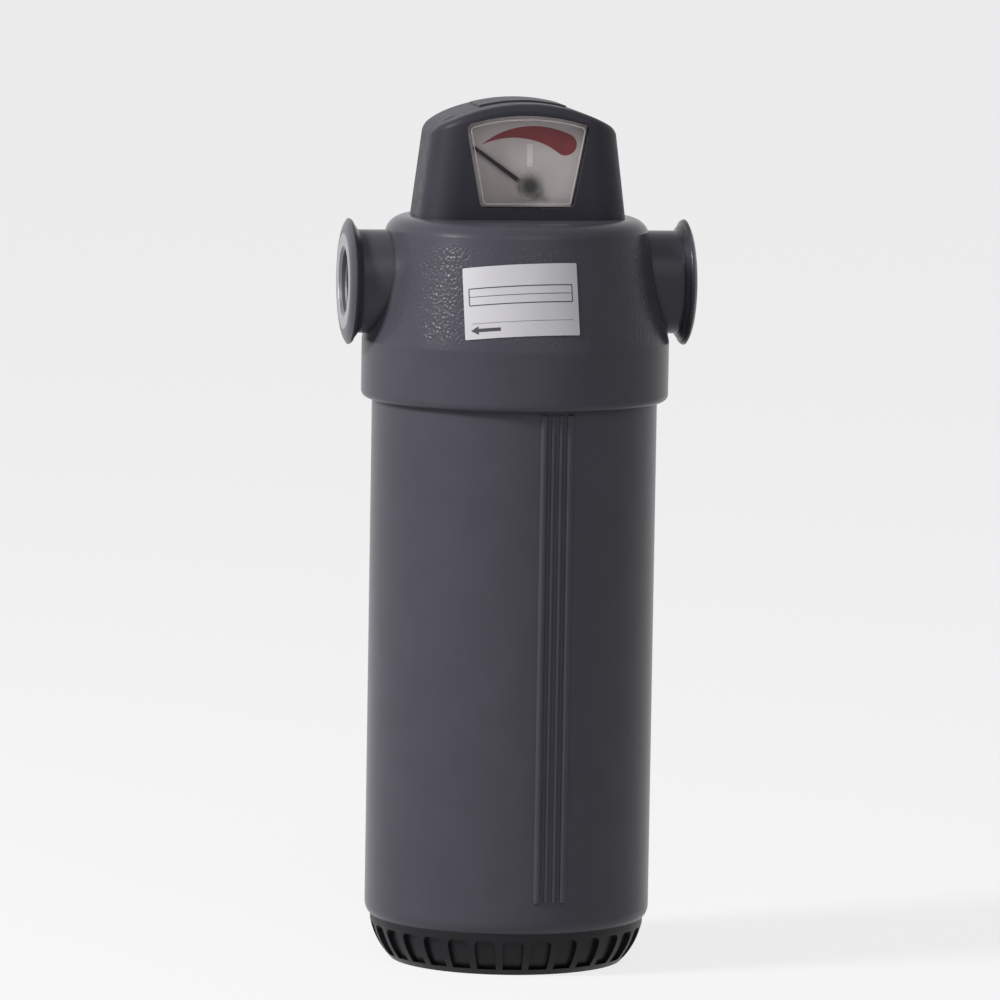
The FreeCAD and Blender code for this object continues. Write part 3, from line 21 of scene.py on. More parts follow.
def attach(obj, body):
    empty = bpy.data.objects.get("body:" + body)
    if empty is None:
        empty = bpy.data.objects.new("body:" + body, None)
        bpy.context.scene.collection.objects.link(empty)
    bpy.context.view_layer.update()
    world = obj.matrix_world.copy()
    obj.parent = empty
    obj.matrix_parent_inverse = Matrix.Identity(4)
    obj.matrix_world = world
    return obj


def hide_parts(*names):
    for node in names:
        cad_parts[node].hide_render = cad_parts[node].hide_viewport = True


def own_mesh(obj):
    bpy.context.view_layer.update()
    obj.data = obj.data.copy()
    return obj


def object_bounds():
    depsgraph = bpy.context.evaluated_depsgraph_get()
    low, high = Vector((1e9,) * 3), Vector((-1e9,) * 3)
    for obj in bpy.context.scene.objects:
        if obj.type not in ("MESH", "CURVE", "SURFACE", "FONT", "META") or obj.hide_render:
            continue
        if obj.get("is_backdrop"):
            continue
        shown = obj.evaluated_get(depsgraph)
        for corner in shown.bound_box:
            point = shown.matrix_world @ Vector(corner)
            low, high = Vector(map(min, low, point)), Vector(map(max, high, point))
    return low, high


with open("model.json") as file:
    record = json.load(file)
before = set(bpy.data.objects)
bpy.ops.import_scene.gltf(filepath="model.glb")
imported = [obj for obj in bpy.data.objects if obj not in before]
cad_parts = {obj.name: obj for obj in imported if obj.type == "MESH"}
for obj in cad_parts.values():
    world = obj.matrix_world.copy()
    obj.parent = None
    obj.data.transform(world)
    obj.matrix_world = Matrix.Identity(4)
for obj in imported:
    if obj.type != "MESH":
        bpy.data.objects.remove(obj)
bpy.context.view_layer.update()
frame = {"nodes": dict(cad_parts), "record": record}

# %% [markdown]
# ## A grid of points becomes a mesh
#
# Every new piece here is a closed band: a row of points goes round the section of the piece,
# and one such row follows another along its length. The points are worked out as one numpy
# array, rows by points by three, with no loop over vertices. One function turns any such array
# into faces, so a label, a thread and a rim all come from the same few lines.

# %% From points to faces
MM = 0.001


def band(points, closed_path=False):
    """Joins the rows of an array (rows, points, 3) into quads.

    Point j of row i is vertex i * points + j. Each quad takes points j and j + 1 of row i and
    of the row after it, and the last point of a row joins its first. A closed path also joins
    the last row to the first one, and an open path is closed with a flat face at each end."""
    rows, around = points.shape[:2]
    i = np.arange(rows if closed_path else rows - 1)[:, None]
    j = np.arange(around)[None, :]
    here, there = (i % rows) * around, ((i + 1) % rows) * around
    ahead = (j + 1) % around
    quads = np.stack([here + j, here + ahead, there + ahead, there + j], axis=-1)
    faces = quads.reshape(-1, 4).tolist()
    if not closed_path:
        faces.append(list(range(around))[::-1])
        faces.append(list(range((rows - 1) * around, rows * around)))
    return points.reshape(-1, 3), faces


print("three rows of four points give", len(band(np.zeros((3, 4, 3)))[1]), "faces")

# %% [markdown]
# A mesh may hold several bands, such as all the printed lines of a label. After the bands are
# joined, the normals are worked out again, so every face points outwards. Edges sharper than
# thirty degrees stay sharp, and everything else is shaded smooth.

# %% From faces to a piece
SHARP = math.radians(30)


def make_piece(name, bands, finish, body):
    """Makes one object of closed bands, in millimetres, that rides on a body of the model."""
    points, faces, count = [], [], 0
    for band_points, band_faces in bands:
        faces += [[v + count for v in face] for face in band_faces]
        points.append(band_points)
        count += len(band_points)
    mesh = bpy.data.meshes.new(name)
    mesh.from_pydata((np.concatenate(points) * MM).tolist(), [], faces)
    mesh.shade_smooth()
    mesh.set_sharp_from_angle(angle=SHARP)
    thing = bpy.data.objects.new(name, mesh)
    bpy.context.collection.objects.link(thing)
    bpy.context.view_layer.objects.active = thing
    bpy.ops.object.mode_set(mode="EDIT")
    bpy.ops.mesh.select_all(action="SELECT")
    bpy.ops.mesh.normals_make_consistent(inside=False)
    bpy.ops.object.mode_set(mode="OBJECT")
    mesh.materials.append(finish)
    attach(thing, body)
    low, high = mesh_box(mesh)
    print(f"{name}: {len(mesh.vertices)} points, from {low} to {high} mm")
    return thing


def mesh_box(mesh):
    """The lowest and the highest corner of a mesh, in millimetres."""
    points = np.empty(len(mesh.vertices) * 3)
    mesh.vertices.foreach_get("co", points)
    points = points.reshape(-1, 3) / MM
    return points.min(axis=0).round(2).tolist(), points.max(axis=0).round(2).tolist()


# %% [markdown]
# ## A thin plate that follows a surface
#
# Labels, printed lines and the red mark are all thin plates. A plate is given by where it lies
# along its length, how far it reaches to each side there, and how far its two faces stand off
# the surface below. A second function says what surface that is: a cone for the label, or the
# flat dial. This way a rounded corner, an arrow head and a comma are only different widths.

# %% A plate on any surface
def plate(place, along, low, high, back, front, rows=2):
    """A thin closed plate.

    place(u, v, out) gives the point at u along and v across the surface, out in front of it.
    At each u of along, the section goes from low to high across at the front distance, and
    back again from high to low at the back distance."""
    share = np.linspace(0.0, 1.0, rows)
    across = low[:, None] + (high - low)[:, None] * share
    across = np.concatenate([across, across[:, ::-1]], axis=1)
    out = np.concatenate([np.full(rows, float(front)), np.full(rows, float(back))])
    return band(place(along[:, None] + 0 * across, across, out + 0 * across))


def half_turn(short_by, count):
    """Angles over half a turn. Their cosines crowd together at both ends, where a rounded
    plate bends most, and stop a little short, so that no section shrinks to nothing."""
    return np.linspace(short_by, math.pi - short_by, count)


def rounded_plate(place, long, high, corner, back, front, columns=120, rows=8):
    """A plate with rounded corners, centred on the surface's origin.

    Near an end, the half height is less by corner minus the height of a circle of that radius,
    taken at the distance from the end."""
    along = -0.5 * long * np.cos(half_turn(short_by=0.02, count=columns))
    into = np.clip(corner - (0.5 * long - np.abs(along)), 0.0, corner)
    half = 0.5 * high - corner + np.sqrt(corner**2 - into**2)
    return plate(place, along, -half, half, back, front, rows)


def flat_place(u, v, out):
    """The plainest surface of all, a flat one."""
    return np.stack([u, v, out], axis=-1)


card = rounded_plate(flat_place, long=20, high=10, corner=2, back=0, front=1)
print("a rounded card of 20 by 10 mm has", len(card[0]), "points and", len(card[1]), "faces")

# %% [markdown]
# ## Finishes from nodes
#
# A finish starts from the Principled shader. Its plain values, such as the metal share, are
# set on the shader itself. What changes over the surface comes from noise in Object
# coordinates, which on these pieces are plain metres, so a scale of 500 gives grains of about
# two millimetres. A few small helpers keep the node trees short enough to read.

# %% A plain finish, and nodes added to it
def new_finish(name, colour, roughness, metal=0.0, **sockets):
    """A material with a Principled shader and its plain values."""
    finish = bpy.data.materials.new(name)
    finish.use_nodes = True
    shader = finish.node_tree.nodes["Principled BSDF"]
    shader.inputs["Base Color"].default_value = (*colour, 1.0)
    shader.inputs["Roughness"].default_value = roughness
    shader.inputs["Metallic"].default_value = metal
    for socket, value in sockets.items():
        shader.inputs[socket.replace("_", " ")].default_value = value
    finish.diffuse_color = (*colour, 1.0)
    return finish


def feed(finish, socket, value):
    """Links an output to a socket, or gives the socket a plain value. None leaves it alone."""
    if isinstance(value, bpy.types.NodeSocket):
        finish.node_tree.links.new(value, socket)
    elif value is not None:
        socket.default_value = value


def add(finish, kind, *values, **settings):
    """Adds a node. Its first inputs take the values, each a number, a colour or an output of
    another node. The settings are the node's own choices."""
    node = finish.node_tree.nodes.new(kind)
    for key, value in settings.items():
        setattr(node, key, value)
    for socket, value in zip(node.inputs, values):
        feed(finish, socket, value)
    return node


def to_shader(finish, output, socket):
    """Links an output to a socket of the finish's Principled shader."""
    feed(finish, finish.node_tree.nodes["Principled BSDF"].inputs[socket], output)


# %% Sums with nodes
def calc(finish, operation, a, b=None):
    """The output of one Math node."""
    return add(finish, "ShaderNodeMath", a, b, operation=operation).outputs[0]


def times(finish, first, *others):
    """The product of several outputs or numbers."""
    for other in others:
        first = calc(finish, "MULTIPLY", first, other)
    return first


def distance(finish, a, b):
    """sqrt(a^2 + b^2), such as the distance from an axis."""
    squares = calc(finish, "ADD", calc(finish, "POWER", a, 2.0), calc(finish, "POWER", b, 2.0))
    return calc(finish, "SQRT", squares)


def ramp(finish, value, low, high, at_low, at_high, shape="LINEAR"):
    """Goes from at_low to at_high while the value goes from low to high, and stays so past it."""
    ends = (low, high, at_low, at_high)
    return add(finish, "ShaderNodeMapRange", value, *ends, interpolation_type=shape).outputs[0]


def point_of(finish):
    """The Object coordinate."""
    return add(finish, "ShaderNodeTexCoord").outputs["Object"]


def place_of(finish):
    """The x, y and z of the Object coordinate, one by one."""
    return add(finish, "ShaderNodeSeparateXYZ", point_of(finish)).outputs


# %% [markdown]
# Real paint and moulded plastic are never quite even. Three effects do most of the work. The
# colour drifts by a few percent, the roughness drifts too, so that highlights break up, and a
# fine bump gives the surface its skin. The bump's depth is a real length, in millimetres here.

# %% Drift of colour and roughness, and a fine skin
GLOSS_FINER = 3.1


def noise(finish, scale, detail=2.0):
    """Noise between 0 and 1 with that many grains to the metre."""
    made = add(finish, "ShaderNodeTexNoise", point_of(finish))
    made.inputs["Scale"].default_value = scale
    made.inputs["Detail"].default_value = detail
    return made.outputs["Fac"]


def spread(finish, value, low, high):
    """Stretches the middle of a noise, 0.3 to 0.7, over the range from low to high."""
    return ramp(finish, value, 0.3, 0.7, low, high)


def blend_colour(finish, share, first, second):
    """The mix of two colours: first where share is 0 and second where it is 1."""
    mix = add(finish, "ShaderNodeMix", share, data_type="RGBA")
    for socket, value in ((mix.inputs[6], first), (mix.inputs[7], second)):
        linked = isinstance(value, bpy.types.NodeSocket)
        feed(finish, socket, value if linked else (*value, 1.0))
    return mix.outputs[2]


def drift(finish, colour, amount, scale, roughness, roughness_amount):
    """Lets the colour and the roughness wander either side of their plain values."""
    colour = np.array(colour)
    cloud = spread(finish, noise(finish, scale), 0.0, 1.0)
    tone = blend_colour(finish, cloud, colour * (1 - amount), colour * (1 + amount))
    to_shader(finish, tone, "Base Color")
    finer = noise(finish, scale * GLOSS_FINER, 4.0)
    gloss = spread(finish, finer, -roughness_amount, roughness_amount)
    to_shader(finish, calc(finish, "ADD", gloss, roughness), "Roughness")
    return tone


def skin(finish, height, depth, share=1.0, below=None):
    """A bump of that depth in millimetres from a height between 0 and 1. share is how much of
    it shows, and below is the normal of an earlier bump."""
    bump = add(finish, "ShaderNodeBump")
    values = {"Strength": share, "Distance": depth * MM, "Height": height, "Normal": below}
    for socket, value in values.items():
        feed(finish, bump.inputs[socket], value)
    to_shader(finish, bump.outputs[0], "Normal")
    return bump.outputs[0]


# %% [markdown]
# ## Grey paint on the castings
#
# The head and the bowl are aluminium castings under one satin grey coat with a hint of violet.
# On the bowl the coat lies flat with a faint orange peel. On the head's cone it is hammered:
# small dents, in patches, that sparkle where light grazes them. Narrow creases are painted
# darker, a painted shade for the little light that gets in. The faces of the two ports are turned
# after painting, so they are bare metal. All this could be painted on as a picture, but position
# alone tells the places apart, so the same finish works from every side.

# %% Paint for a casting
PAINT, PAINT_ROUGH, PEEL_SCALE, PEEL_DEEP = (0.063, 0.061, 0.077), 0.28, 520.0, 0.02
CREASE, CREASE_SHUT, CREASE_OPEN, CREASE_PAINTED_SHADE = 2.5, 0.35, 0.95, 0.45


def painted_casting(name):
    """Satin grey paint with a faint orange peel, and painted shade in creases.

    The Ambient Occlusion node says what share of the sky a point sees within the crease's
    width. Its range from shut to open becomes a factor on the colour, which paints the shade."""
    finish = new_finish(name, PAINT, PAINT_ROUGH, Specular_IOR_Level=0.15)
    tone = drift(finish, PAINT, 0.05, 60.0, PAINT_ROUGH, roughness_amount=0.03)
    # Painted shade: the colour is darkened where the crease sees little sky.
    sky = add(finish, "ShaderNodeAmbientOcclusion", samples=8)
    sky.inputs["Distance"].default_value = CREASE * MM
    crease_painted_shade = ramp(finish, sky.outputs["AO"], CREASE_SHUT, CREASE_OPEN, CREASE_PAINTED_SHADE, 1.0)
    tone = blend_colour(finish, crease_painted_shade, (0.0, 0.0, 0.0), tone)
    to_shader(finish, tone, "Base Color")
    peel = skin(finish, noise(finish, PEEL_SCALE, 3.0), PEEL_DEEP, 0.6)
    return finish, tone, peel


# %% Dents on the head's cone
CONE_LOW, CONE_HIGH, CONE_FADE = 232.3, 272.0, 4.0
PORT_Z, PORT_FACE, PORT_FACE_RAD, BORE_RAD, RIM_RAD = 253.8, 65.0, 17.75, 12.06, 20.0
DENT_SCALE, DENT_DEEP, DENTS_LOW, PATCH_SCALE = 850.0, 0.33, 0.75, 330.0

head_paint, tone, peel = painted_casting("grey paint, hammered")
x, y, z = place_of(head_paint)
above_skirt = ramp(head_paint, z, CONE_LOW * MM, (CONE_LOW + CONE_FADE) * MM, 0.0, DENTS_LOW)
below_crown = ramp(head_paint, z, (CONE_HIGH - CONE_FADE) * MM, CONE_HIGH * MM, 1.0, 0.0)
from_port = distance(head_paint, y, calc(head_paint, "SUBTRACT", z, PORT_Z * MM))
off_ports = ramp(head_paint, from_port, RIM_RAD * MM, (RIM_RAD + CONE_FADE) * MM, 0.0, 1.0)
patches = spread(head_paint, noise(head_paint, PATCH_SCALE), 0.25, 1.0)
on_cone = times(head_paint, above_skirt, below_crown, off_ports, patches)
dents = add(head_paint, "ShaderNodeTexVoronoi", point_of(head_paint), feature="SMOOTH_F1")
dents.inputs["Scale"].default_value = DENT_SCALE
dents.inputs["Smoothness"].default_value = 0.5
skin(head_paint, dents.outputs["Distance"], DENT_DEEP, on_cone, peel)
print("dents about", round(1000 / DENT_SCALE, 1), "mm apart, up to", DENT_DEEP, "mm deep")

# %% Bare metal on the port faces, and a hint of it in the bores
TURNED, TURNED_ROUGH = (0.44, 0.44, 0.45), 0.42
EDGE, BORE_MOUTH, BORE_END, BORE_SHARE = 0.1, 1.15, 30.0, 0.3


def bare_where(finish, share, tone):
    """Shows turned metal in place of the paint where share is 1."""
    to_shader(finish, blend_colour(finish, share, tone, TURNED), "Base Color")
    to_shader(finish, share, "Metallic")
    to_shader(finish, ramp(finish, share, 0.0, 1.0, PAINT_ROUGH, TURNED_ROUGH), "Roughness")


from_middle = calc(head_paint, "ABSOLUTE", x)
on_face = calc(head_paint, "GREATER_THAN", from_middle, (PORT_FACE - EDGE) * MM)
in_ring = calc(head_paint, "LESS_THAN", from_port, PORT_FACE_RAD * MM)
in_bore = calc(head_paint, "LESS_THAN", from_port, (BORE_RAD + BORE_MOUTH) * MM)
past_cone = calc(head_paint, "GREATER_THAN", from_middle, BORE_END * MM)
face_share = times(head_paint, on_face, in_ring)
bore_share = times(head_paint, in_bore, past_cone, BORE_SHARE)
bare_where(head_paint, calc(head_paint, "MAXIMUM", face_share, bore_share), tone)
print("paint:", head_paint.name)

# %% Paint of the bowl, with the bare neck that the head screws onto
NECK_LOW, NECK_RAD = 214.8, 51.0

bowl_paint, tone, _ = painted_casting("grey paint, smooth")
x, y, z = place_of(bowl_paint)
above_shoulder = calc(bowl_paint, "GREATER_THAN", z, (NECK_LOW + EDGE) * MM)
on_neck = calc(bowl_paint, "LESS_THAN", distance(bowl_paint, x, y), (NECK_RAD + EDGE) * MM)
bare_where(bowl_paint, times(bowl_paint, above_shoulder, on_neck), tone)
print("paint:", bowl_paint.name)

# %% [markdown]
# ## Plastics, rubber and film
#
# The base cap and the housing are moulded in dark plastic. Moulded parts pick up the spark
# eroded grain of their tool, much finer than the peel of paint. The grain could be cut into the
# mesh, but at this size only its gloss shows, so a bump is enough. The housing's charcoal has a
# slight blue cast, and the base is nearly black.

# %% Moulded plastics
def moulded(name, colour, roughness, grain, depth):
    """A moulded plastic with the fine grain of its tool."""
    finish = new_finish(name, colour, roughness, Specular_IOR_Level=0.2)
    drift(finish, colour, 0.08, 80.0, roughness, 0.05)
    skin(finish, noise(finish, grain, 3.0), depth, 0.7)
    return finish


# Each line gives the colour, the roughness, the grains to the metre and the depth in mm.
charcoal = moulded("charcoal plastic", (0.025, 0.024, 0.034), 0.48, 2200.0, 0.02)
black = moulded("black plastic", (0.011, 0.0105, 0.013), 0.42, 1600.0, 0.02)
element_plastic = moulded("element plastic", (0.05, 0.05, 0.055), 0.5, 1800.0, 0.02)
white_plastic = moulded("white plastic", (0.78, 0.78, 0.75), 0.45, 1800.0, 0.01)
pointer_paint = moulded("pointer plastic", (0.035, 0.024, 0.028), 0.5, 2500.0, 0.01)
rubber = moulded("black rubber", (0.02, 0.02, 0.02), 0.65, 1200.0, 0.02)
print("plastics:", [f.name for f in (charcoal, black, element_plastic, white_plastic)])

# %% [markdown]
# The window is clear, so most light passes straight through it. A plain alpha does that
# without bending the view of the dial, and the small share that is left carries the gloss.
# Where the mould was filled, the plastic is frosted. The alpha of that finish falls with the
# distance from the spot's middle, and its shade does too, so the frost ends without an edge.

# %% Clear plastic, and a painted highlight for its edge
clear = new_finish("clear plastic", (0.03, 0.03, 0.032), roughness=0.1, Alpha=0.07)
skin(clear, noise(clear, 90.0), depth=0.03, share=0.3)
# A pale, half clear finish for the bead on the window's edge: a painted highlight.
painted_rim_highlight = new_finish("lens edge", (0.85, 0.8, 0.8), roughness=0.4, Alpha=0.3)
skin(painted_rim_highlight, noise(painted_rim_highlight, 700.0), depth=0.01, share=0.4)
print("clear:", clear.name, "and", painted_rim_highlight.name)

# %% Frosted plastic
PIVOT_Z, SPOT_X, SPOT_UP, SPOT_RAD = 290.7, 1.0, 0.1, 6.2
FROST, FROST_DARK = (0.24, 0.235, 0.22), (0.035, 0.035, 0.035)
DARK_NEAR, DARK_FAR, FROST_NEAR, FROST_MOST = 1.4, 4.8, 2.4, 0.85

milky = new_finish("frosted plastic", FROST, roughness=0.6)
skin(milky, noise(milky, 1500.0), depth=0.02, share=0.6)
x, _, z = place_of(milky)
aside = calc(milky, "SUBTRACT", x, SPOT_X * MM)
above = calc(milky, "SUBTRACT", z, (PIVOT_Z + SPOT_UP) * MM)
away = distance(milky, aside, above)
dark = ramp(milky, away, DARK_NEAR * MM, DARK_FAR * MM, 1.0, 0.0, "SMOOTHSTEP")
veil = ramp(milky, away, FROST_NEAR * MM, SPOT_RAD * MM, FROST_MOST, 0.0, "SMOOTHSTEP")
to_shader(milky, blend_colour(milky, dark, FROST, FROST_DARK), "Base Color")
to_shader(milky, veil, "Alpha")
print("frosted:", milky.name, "within", SPOT_RAD, "mm")

# %% [markdown]
# The label is a white film, and the dial is printed card. Both have a dull, slightly uneven
# surface, and so has the ink on them, so one short function serves for all.

# %% Printed surfaces
def printed(name, colour, amount, scale, roughness=0.5, **sockets):
    """A dull print or film whose colour drifts by that amount."""
    finish = new_finish(name, colour, roughness, **sockets)
    drift(finish, colour, amount, scale, roughness, 0.05)
    return finish


# Each line gives the colour, how far it drifts, and the drifts to the metre.
dial_print = printed("dial print", (0.73, 0.655, 0.655), 0.04, 120.0, 0.55)
film = printed("label film", (0.57, 0.558, 0.586), 0.03, 70.0, Specular_IOR_Level=0.3)
skin(film, noise(film, 300.0), depth=0.02, share=0.4)
ink = printed("label ink", (0.035, 0.03, 0.04), 0.15, 900.0)
red_ink = printed("red ink", (0.26, 0.039, 0.048), 0.1, 500.0)
pale_ink = printed("pale ink", (0.97, 0.89, 0.89), 0.05, 500.0)
print("prints:", [f.name for f in (dial_print, film, ink, red_ink, pale_ink)])

# %% [markdown]
# ## Metals and filter layers
#
# Inside are brass valve parts, plated steel, and the layers of the element. Their patterns run
# round an axis, so they need the angle round it. The arctangent of y and x gives that angle,
# and a whole number of waves in it meets itself without a seam.

# %% Turned and plated metals
def metal(name, colour, roughness, grain):
    """A metal with the fine marks of turning or plating."""
    finish = new_finish(name, colour, roughness, 1.0)
    drift(finish, colour, 0.06, 150.0, roughness, 0.08)
    skin(finish, noise(finish, grain, 4.0), 0.01, 0.5)
    return finish


# Each line gives the colour, the roughness and the grains to the metre.
zinc = metal("zinc plated steel", (0.55, 0.55, 0.56), 0.35, 1500.0)
brass = metal("turned brass", (0.68, 0.52, 0.25), 0.3, 1200.0)
magnet = metal("nickel plate", (0.6, 0.59, 0.57), 0.2, 2000.0)
thread_metal = metal("turned aluminium", (0.16, 0.16, 0.17), 0.5, 1800.0)
print("metals:", [f.name for f in (zinc, brass, magnet, thread_metal)])

# %% The height of mesh, pleats and foam
STRANDS, STRAND_SLANT, PLEATS, PORE_SCALE = 42, 900.0, 64, 700.0


def round_waves(finish, count, slant=0.0):
    """sin(count * angle + slant * z), a wave that closes on itself round the Z axis."""
    x, y, z = place_of(finish)
    angle = times(finish, calc(finish, "ARCTAN2", y, x), float(count))
    return calc(finish, "SINE", calc(finish, "ADD", angle, times(finish, z, slant)))


def mesh_height(finish):
    """Two crossed waves: high on the strands and low in the diamond holes between them."""
    left, right = (round_waves(finish, STRANDS, way * STRAND_SLANT) for way in (1, -1))
    return ramp(finish, times(finish, left, right), -0.1, 0.25, 0.0, 1.0)


def pleat_height(finish):
    """One wave for each pleat."""
    return ramp(finish, round_waves(finish, PLEATS), -1.0, 1.0, 0.0, 1.0)


def foam_height(finish):
    """The distance to the nearest pore's middle."""
    pores = add(finish, "ShaderNodeTexVoronoi", point_of(finish))
    pores.inputs["Scale"].default_value = PORE_SCALE
    return pores.outputs["Distance"]


# %% Layers of the element
def layer(name, colour, dark, roughness, height, depth, metal_share=0.0):
    """A finish whose low places get the darker colour, a painted shade in its hollows."""
    finish = new_finish(name, colour, roughness, metal_share)
    level = height(finish)
    # Painted shade: the hollows take the darker colour.
    to_shader(finish, blend_colour(finish, level, dark, colour), "Base Color")
    skin(finish, level, depth)
    return finish


# Each layer gets its own colour and the painted shade of its hollows, its roughness, its height
# and the depth in millimetres.
STEEL, STEEL_PAINTED_SHADE = (0.6, 0.6, 0.61), (0.08, 0.08, 0.08)
MEDIA, MEDIA_PAINTED_SHADE = (0.82, 0.81, 0.77), (0.4, 0.39, 0.36)
FOAM, FOAM_PAINTED_SHADE = (0.1, 0.2, 0.42), (0.02, 0.05, 0.12)
steel_mesh = layer("expanded steel", STEEL, STEEL_PAINTED_SHADE, 0.35, mesh_height, 0.5, 1.0)
media = layer("pleated media", MEDIA, MEDIA_PAINTED_SHADE, 0.9, pleat_height, 1.0)
foam = layer("foam sleeve", FOAM, FOAM_PAINTED_SHADE, 0.95, foam_height, 0.4)
print("layers:", [f.name for f in (steel_mesh, media, foam)])

# %% [markdown]
# ## Dress the solids
#
# The model already says which finish each solid has, by the name of a slot. One table from
# slot to finish dresses all of them, and only the head and the bowl, which share a paint but
# not its texture, are told apart by name.

# %% Give every solid its finish
finishes = {
    "grey_paint": bowl_paint,
    "charcoal_plastic": charcoal,
    "black_plastic": black,
    "clear_lens": clear,
    "dial_print": dial_print,
    "pointer_paint": pointer_paint,
    "black_rubber": rubber,
    "label_film": film,
    "zinc_steel": zinc,
    "perforated_steel": steel_mesh,
    "filter_media": media,
    "foam": foam,
    "element_plastic": element_plastic,
    "brass": brass,
    "white_plastic": white_plastic,
    "magnet": magnet,
}
slot_of = {part["node"]: part["material_slot"] for part in frame["record"]["subparts"]}
for name, solid in frame["nodes"].items():
    finish = head_paint if name == "filter_head" else finishes[slot_of[name]]
    for place in solid.material_slots:
        place.material = finish
print("dressed:", len(frame["nodes"]), "solids with", len(finishes) + 1, "finishes")

# %% [markdown]
# ## The film on the head
#
# The rating film is stuck on the cone by hand and sits a little askew. It could be a picture
# on a flat card, but then it would float. Instead, every point of it is placed by two numbers:
# how far round the cone it lies and how far up. An empty ruled table, a thin rule and the arrow
# for the direction of flow are drawn on it as raised ink.

# %% A surface that is the head's cone
CONE_LOW_RAD, CONE_TOP, CONE_TOP_RAD = 57.2, 273.3, 48.8
CONE_TILT = math.atan((CONE_LOW_RAD - CONE_TOP_RAD) / (CONE_TOP - CONE_LOW))
LABEL_MID_Z, LABEL_TURN, LABEL_SKEW = 251.3, math.radians(-7.15), math.radians(3.3)
LABEL_MID_RAD = CONE_LOW_RAD - math.tan(CONE_TILT) * (LABEL_MID_Z - CONE_LOW)
FAR = LABEL_MID_RAD / math.sin(CONE_TILT)


def on_cone_at(u, v, out):
    """The point u across and v up from the label's middle, out in front of the cone.

    A flat film wraps a cone without creases, like the unrolled cone's sector. On the sector
    the label's middle lies FAR from the tip, so a point is r = sqrt(across^2 + (FAR - up)^2)
    from it, at the angle atan2(across, FAR - up). Rolled up, r * sin(tilt) is the radius and
    the angle is divided by sin(tilt)."""
    across = u * math.cos(LABEL_SKEW) - v * math.sin(LABEL_SKEW)
    up = u * math.sin(LABEL_SKEW) + v * math.cos(LABEL_SKEW)
    from_tip = np.hypot(across, FAR - up)
    radius = from_tip * math.sin(CONE_TILT) + out
    height = LABEL_MID_Z + (FAR - from_tip) * math.cos(CONE_TILT)
    angle = LABEL_TURN + np.arctan2(across, FAR - up) / math.sin(CONE_TILT)
    return np.stack([radius * np.sin(angle), -radius * np.cos(angle), height], axis=-1)


print("the cone leans by", round(math.degrees(CONE_TILT), 2), "degrees")

# %% The film
LABEL_LONG, LABEL_HIGH, LABEL_CORNER = 42.8, 26.6, 0.5
FILM_BACK, FILM_FRONT = 0.05, 0.3

film_plate = rounded_plate(
    on_cone_at, LABEL_LONG, LABEL_HIGH, LABEL_CORNER, FILM_BACK, FILM_FRONT
)
label_film = make_piece("label_film", [film_plate], film, "head")
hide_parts("rating_label")

# %% [markdown]
# The ink is a set of thin bars. Each is given by its left and right end, its height on the
# film and its thickness, all measured from the film's middle.

# %% Bars and an arrow of ink
INK_BACK, INK_FRONT = 0.28, 0.33
COLUMNS_PER_MM, BLUNT = 4, 0.05


def bar(left, right, v, thick):
    """A printed bar from left to right at height v."""
    along = np.linspace(left, right, max(2, int(COLUMNS_PER_MM * abs(right - left))))
    low = np.full(along.shape, v - 0.5 * thick)
    return plate(on_cone_at, along, low, low + thick, INK_BACK, INK_FRONT)


def upright(u, low, high, thick):
    """A printed bar from low to high at u."""
    along = np.array([u - 0.5 * thick, u + 0.5 * thick])
    return plate(on_cone_at, along, np.full(2, low), np.full(2, high), INK_BACK, INK_FRONT, 8)


def arrow(tip, tail, v, head_long, head_high, shaft):
    """An arrow that points left. Its half height grows from the tip to the end of its head,
    drops to half the shaft, and stays so up to the tail."""
    neck = tip + head_long
    along = np.concatenate([[tip, neck], np.linspace(neck + BLUNT, tail, 10)])
    half = np.concatenate([[BLUNT, 0.5 * head_high], np.full(10, 0.5 * shaft)])
    return plate(on_cone_at, along, v - half, v + half, INK_BACK, INK_FRONT)


print("a printed bar of 10 mm has", len(bar(0, 10, 0, 0.4)[0]), "points")

# %% The printed table, rule and arrow
TABLE_LEFT, TABLE_RIGHT, TABLE_TOP, TABLE_MID, TABLE_LOW = -19.2, 19.1, 5.4, 2.34, -0.82
FRAME_LINE, INNER_LINE = 0.4, 0.25

marks = [
    bar(TABLE_LEFT, TABLE_RIGHT, TABLE_TOP, FRAME_LINE),
    bar(TABLE_LEFT, TABLE_RIGHT, TABLE_MID, INNER_LINE),
    bar(TABLE_LEFT, TABLE_RIGHT, TABLE_LOW, FRAME_LINE),
    upright(TABLE_LEFT, TABLE_LOW, TABLE_TOP, FRAME_LINE),
    upright(TABLE_RIGHT, TABLE_LOW, TABLE_TOP, FRAME_LINE),
    bar(left=-18.7, right=19.2, v=-7.55, thick=0.15),
    arrow(tip=-19.0, tail=-8.0, v=-10.1, head_long=2.8, head_high=3.2, shaft=1.3),
]
make_piece("label_print", marks, ink, "head")

# %% [markdown]
# ## The dial
#
# The dial carries one red mark shaped like a long comma: it starts as a point on the left and
# ends as a round head on the right. Its middle line is an arc, so the mark is a plate bent
# along that arc, and only its width makes it a comma. A pale stripe runs down to the pointer.

# %% The red mark
DIAL_FRONT = 16.8
ARC_X, ARC_Z, ARC_RAD = -0.7, PIVOT_Z - 10.0, 29.7
TAIL_ANGLE, HEAD_ANGLE, HEAD_RAD = math.radians(-31.5), math.radians(31.6), 4.1
TAIL_SHARE, GROWTH, HEAD_END, COMMA_COLUMNS = 0.02, 0.9, 0.995, 60
PRINT_BACK, RED_FRONT, PALE_FRONT = 0.02, 0.06, 0.04


def on_arc(u, v, out):
    """The point at angle u along the arc, v outside it, and out in front of the dial."""
    x, z = (ARC_RAD + v) * np.sin(u), (ARC_RAD + v) * np.cos(u)
    return np.stack([ARC_X + x, -DIAL_FRONT - out, ARC_Z + z], axis=-1)


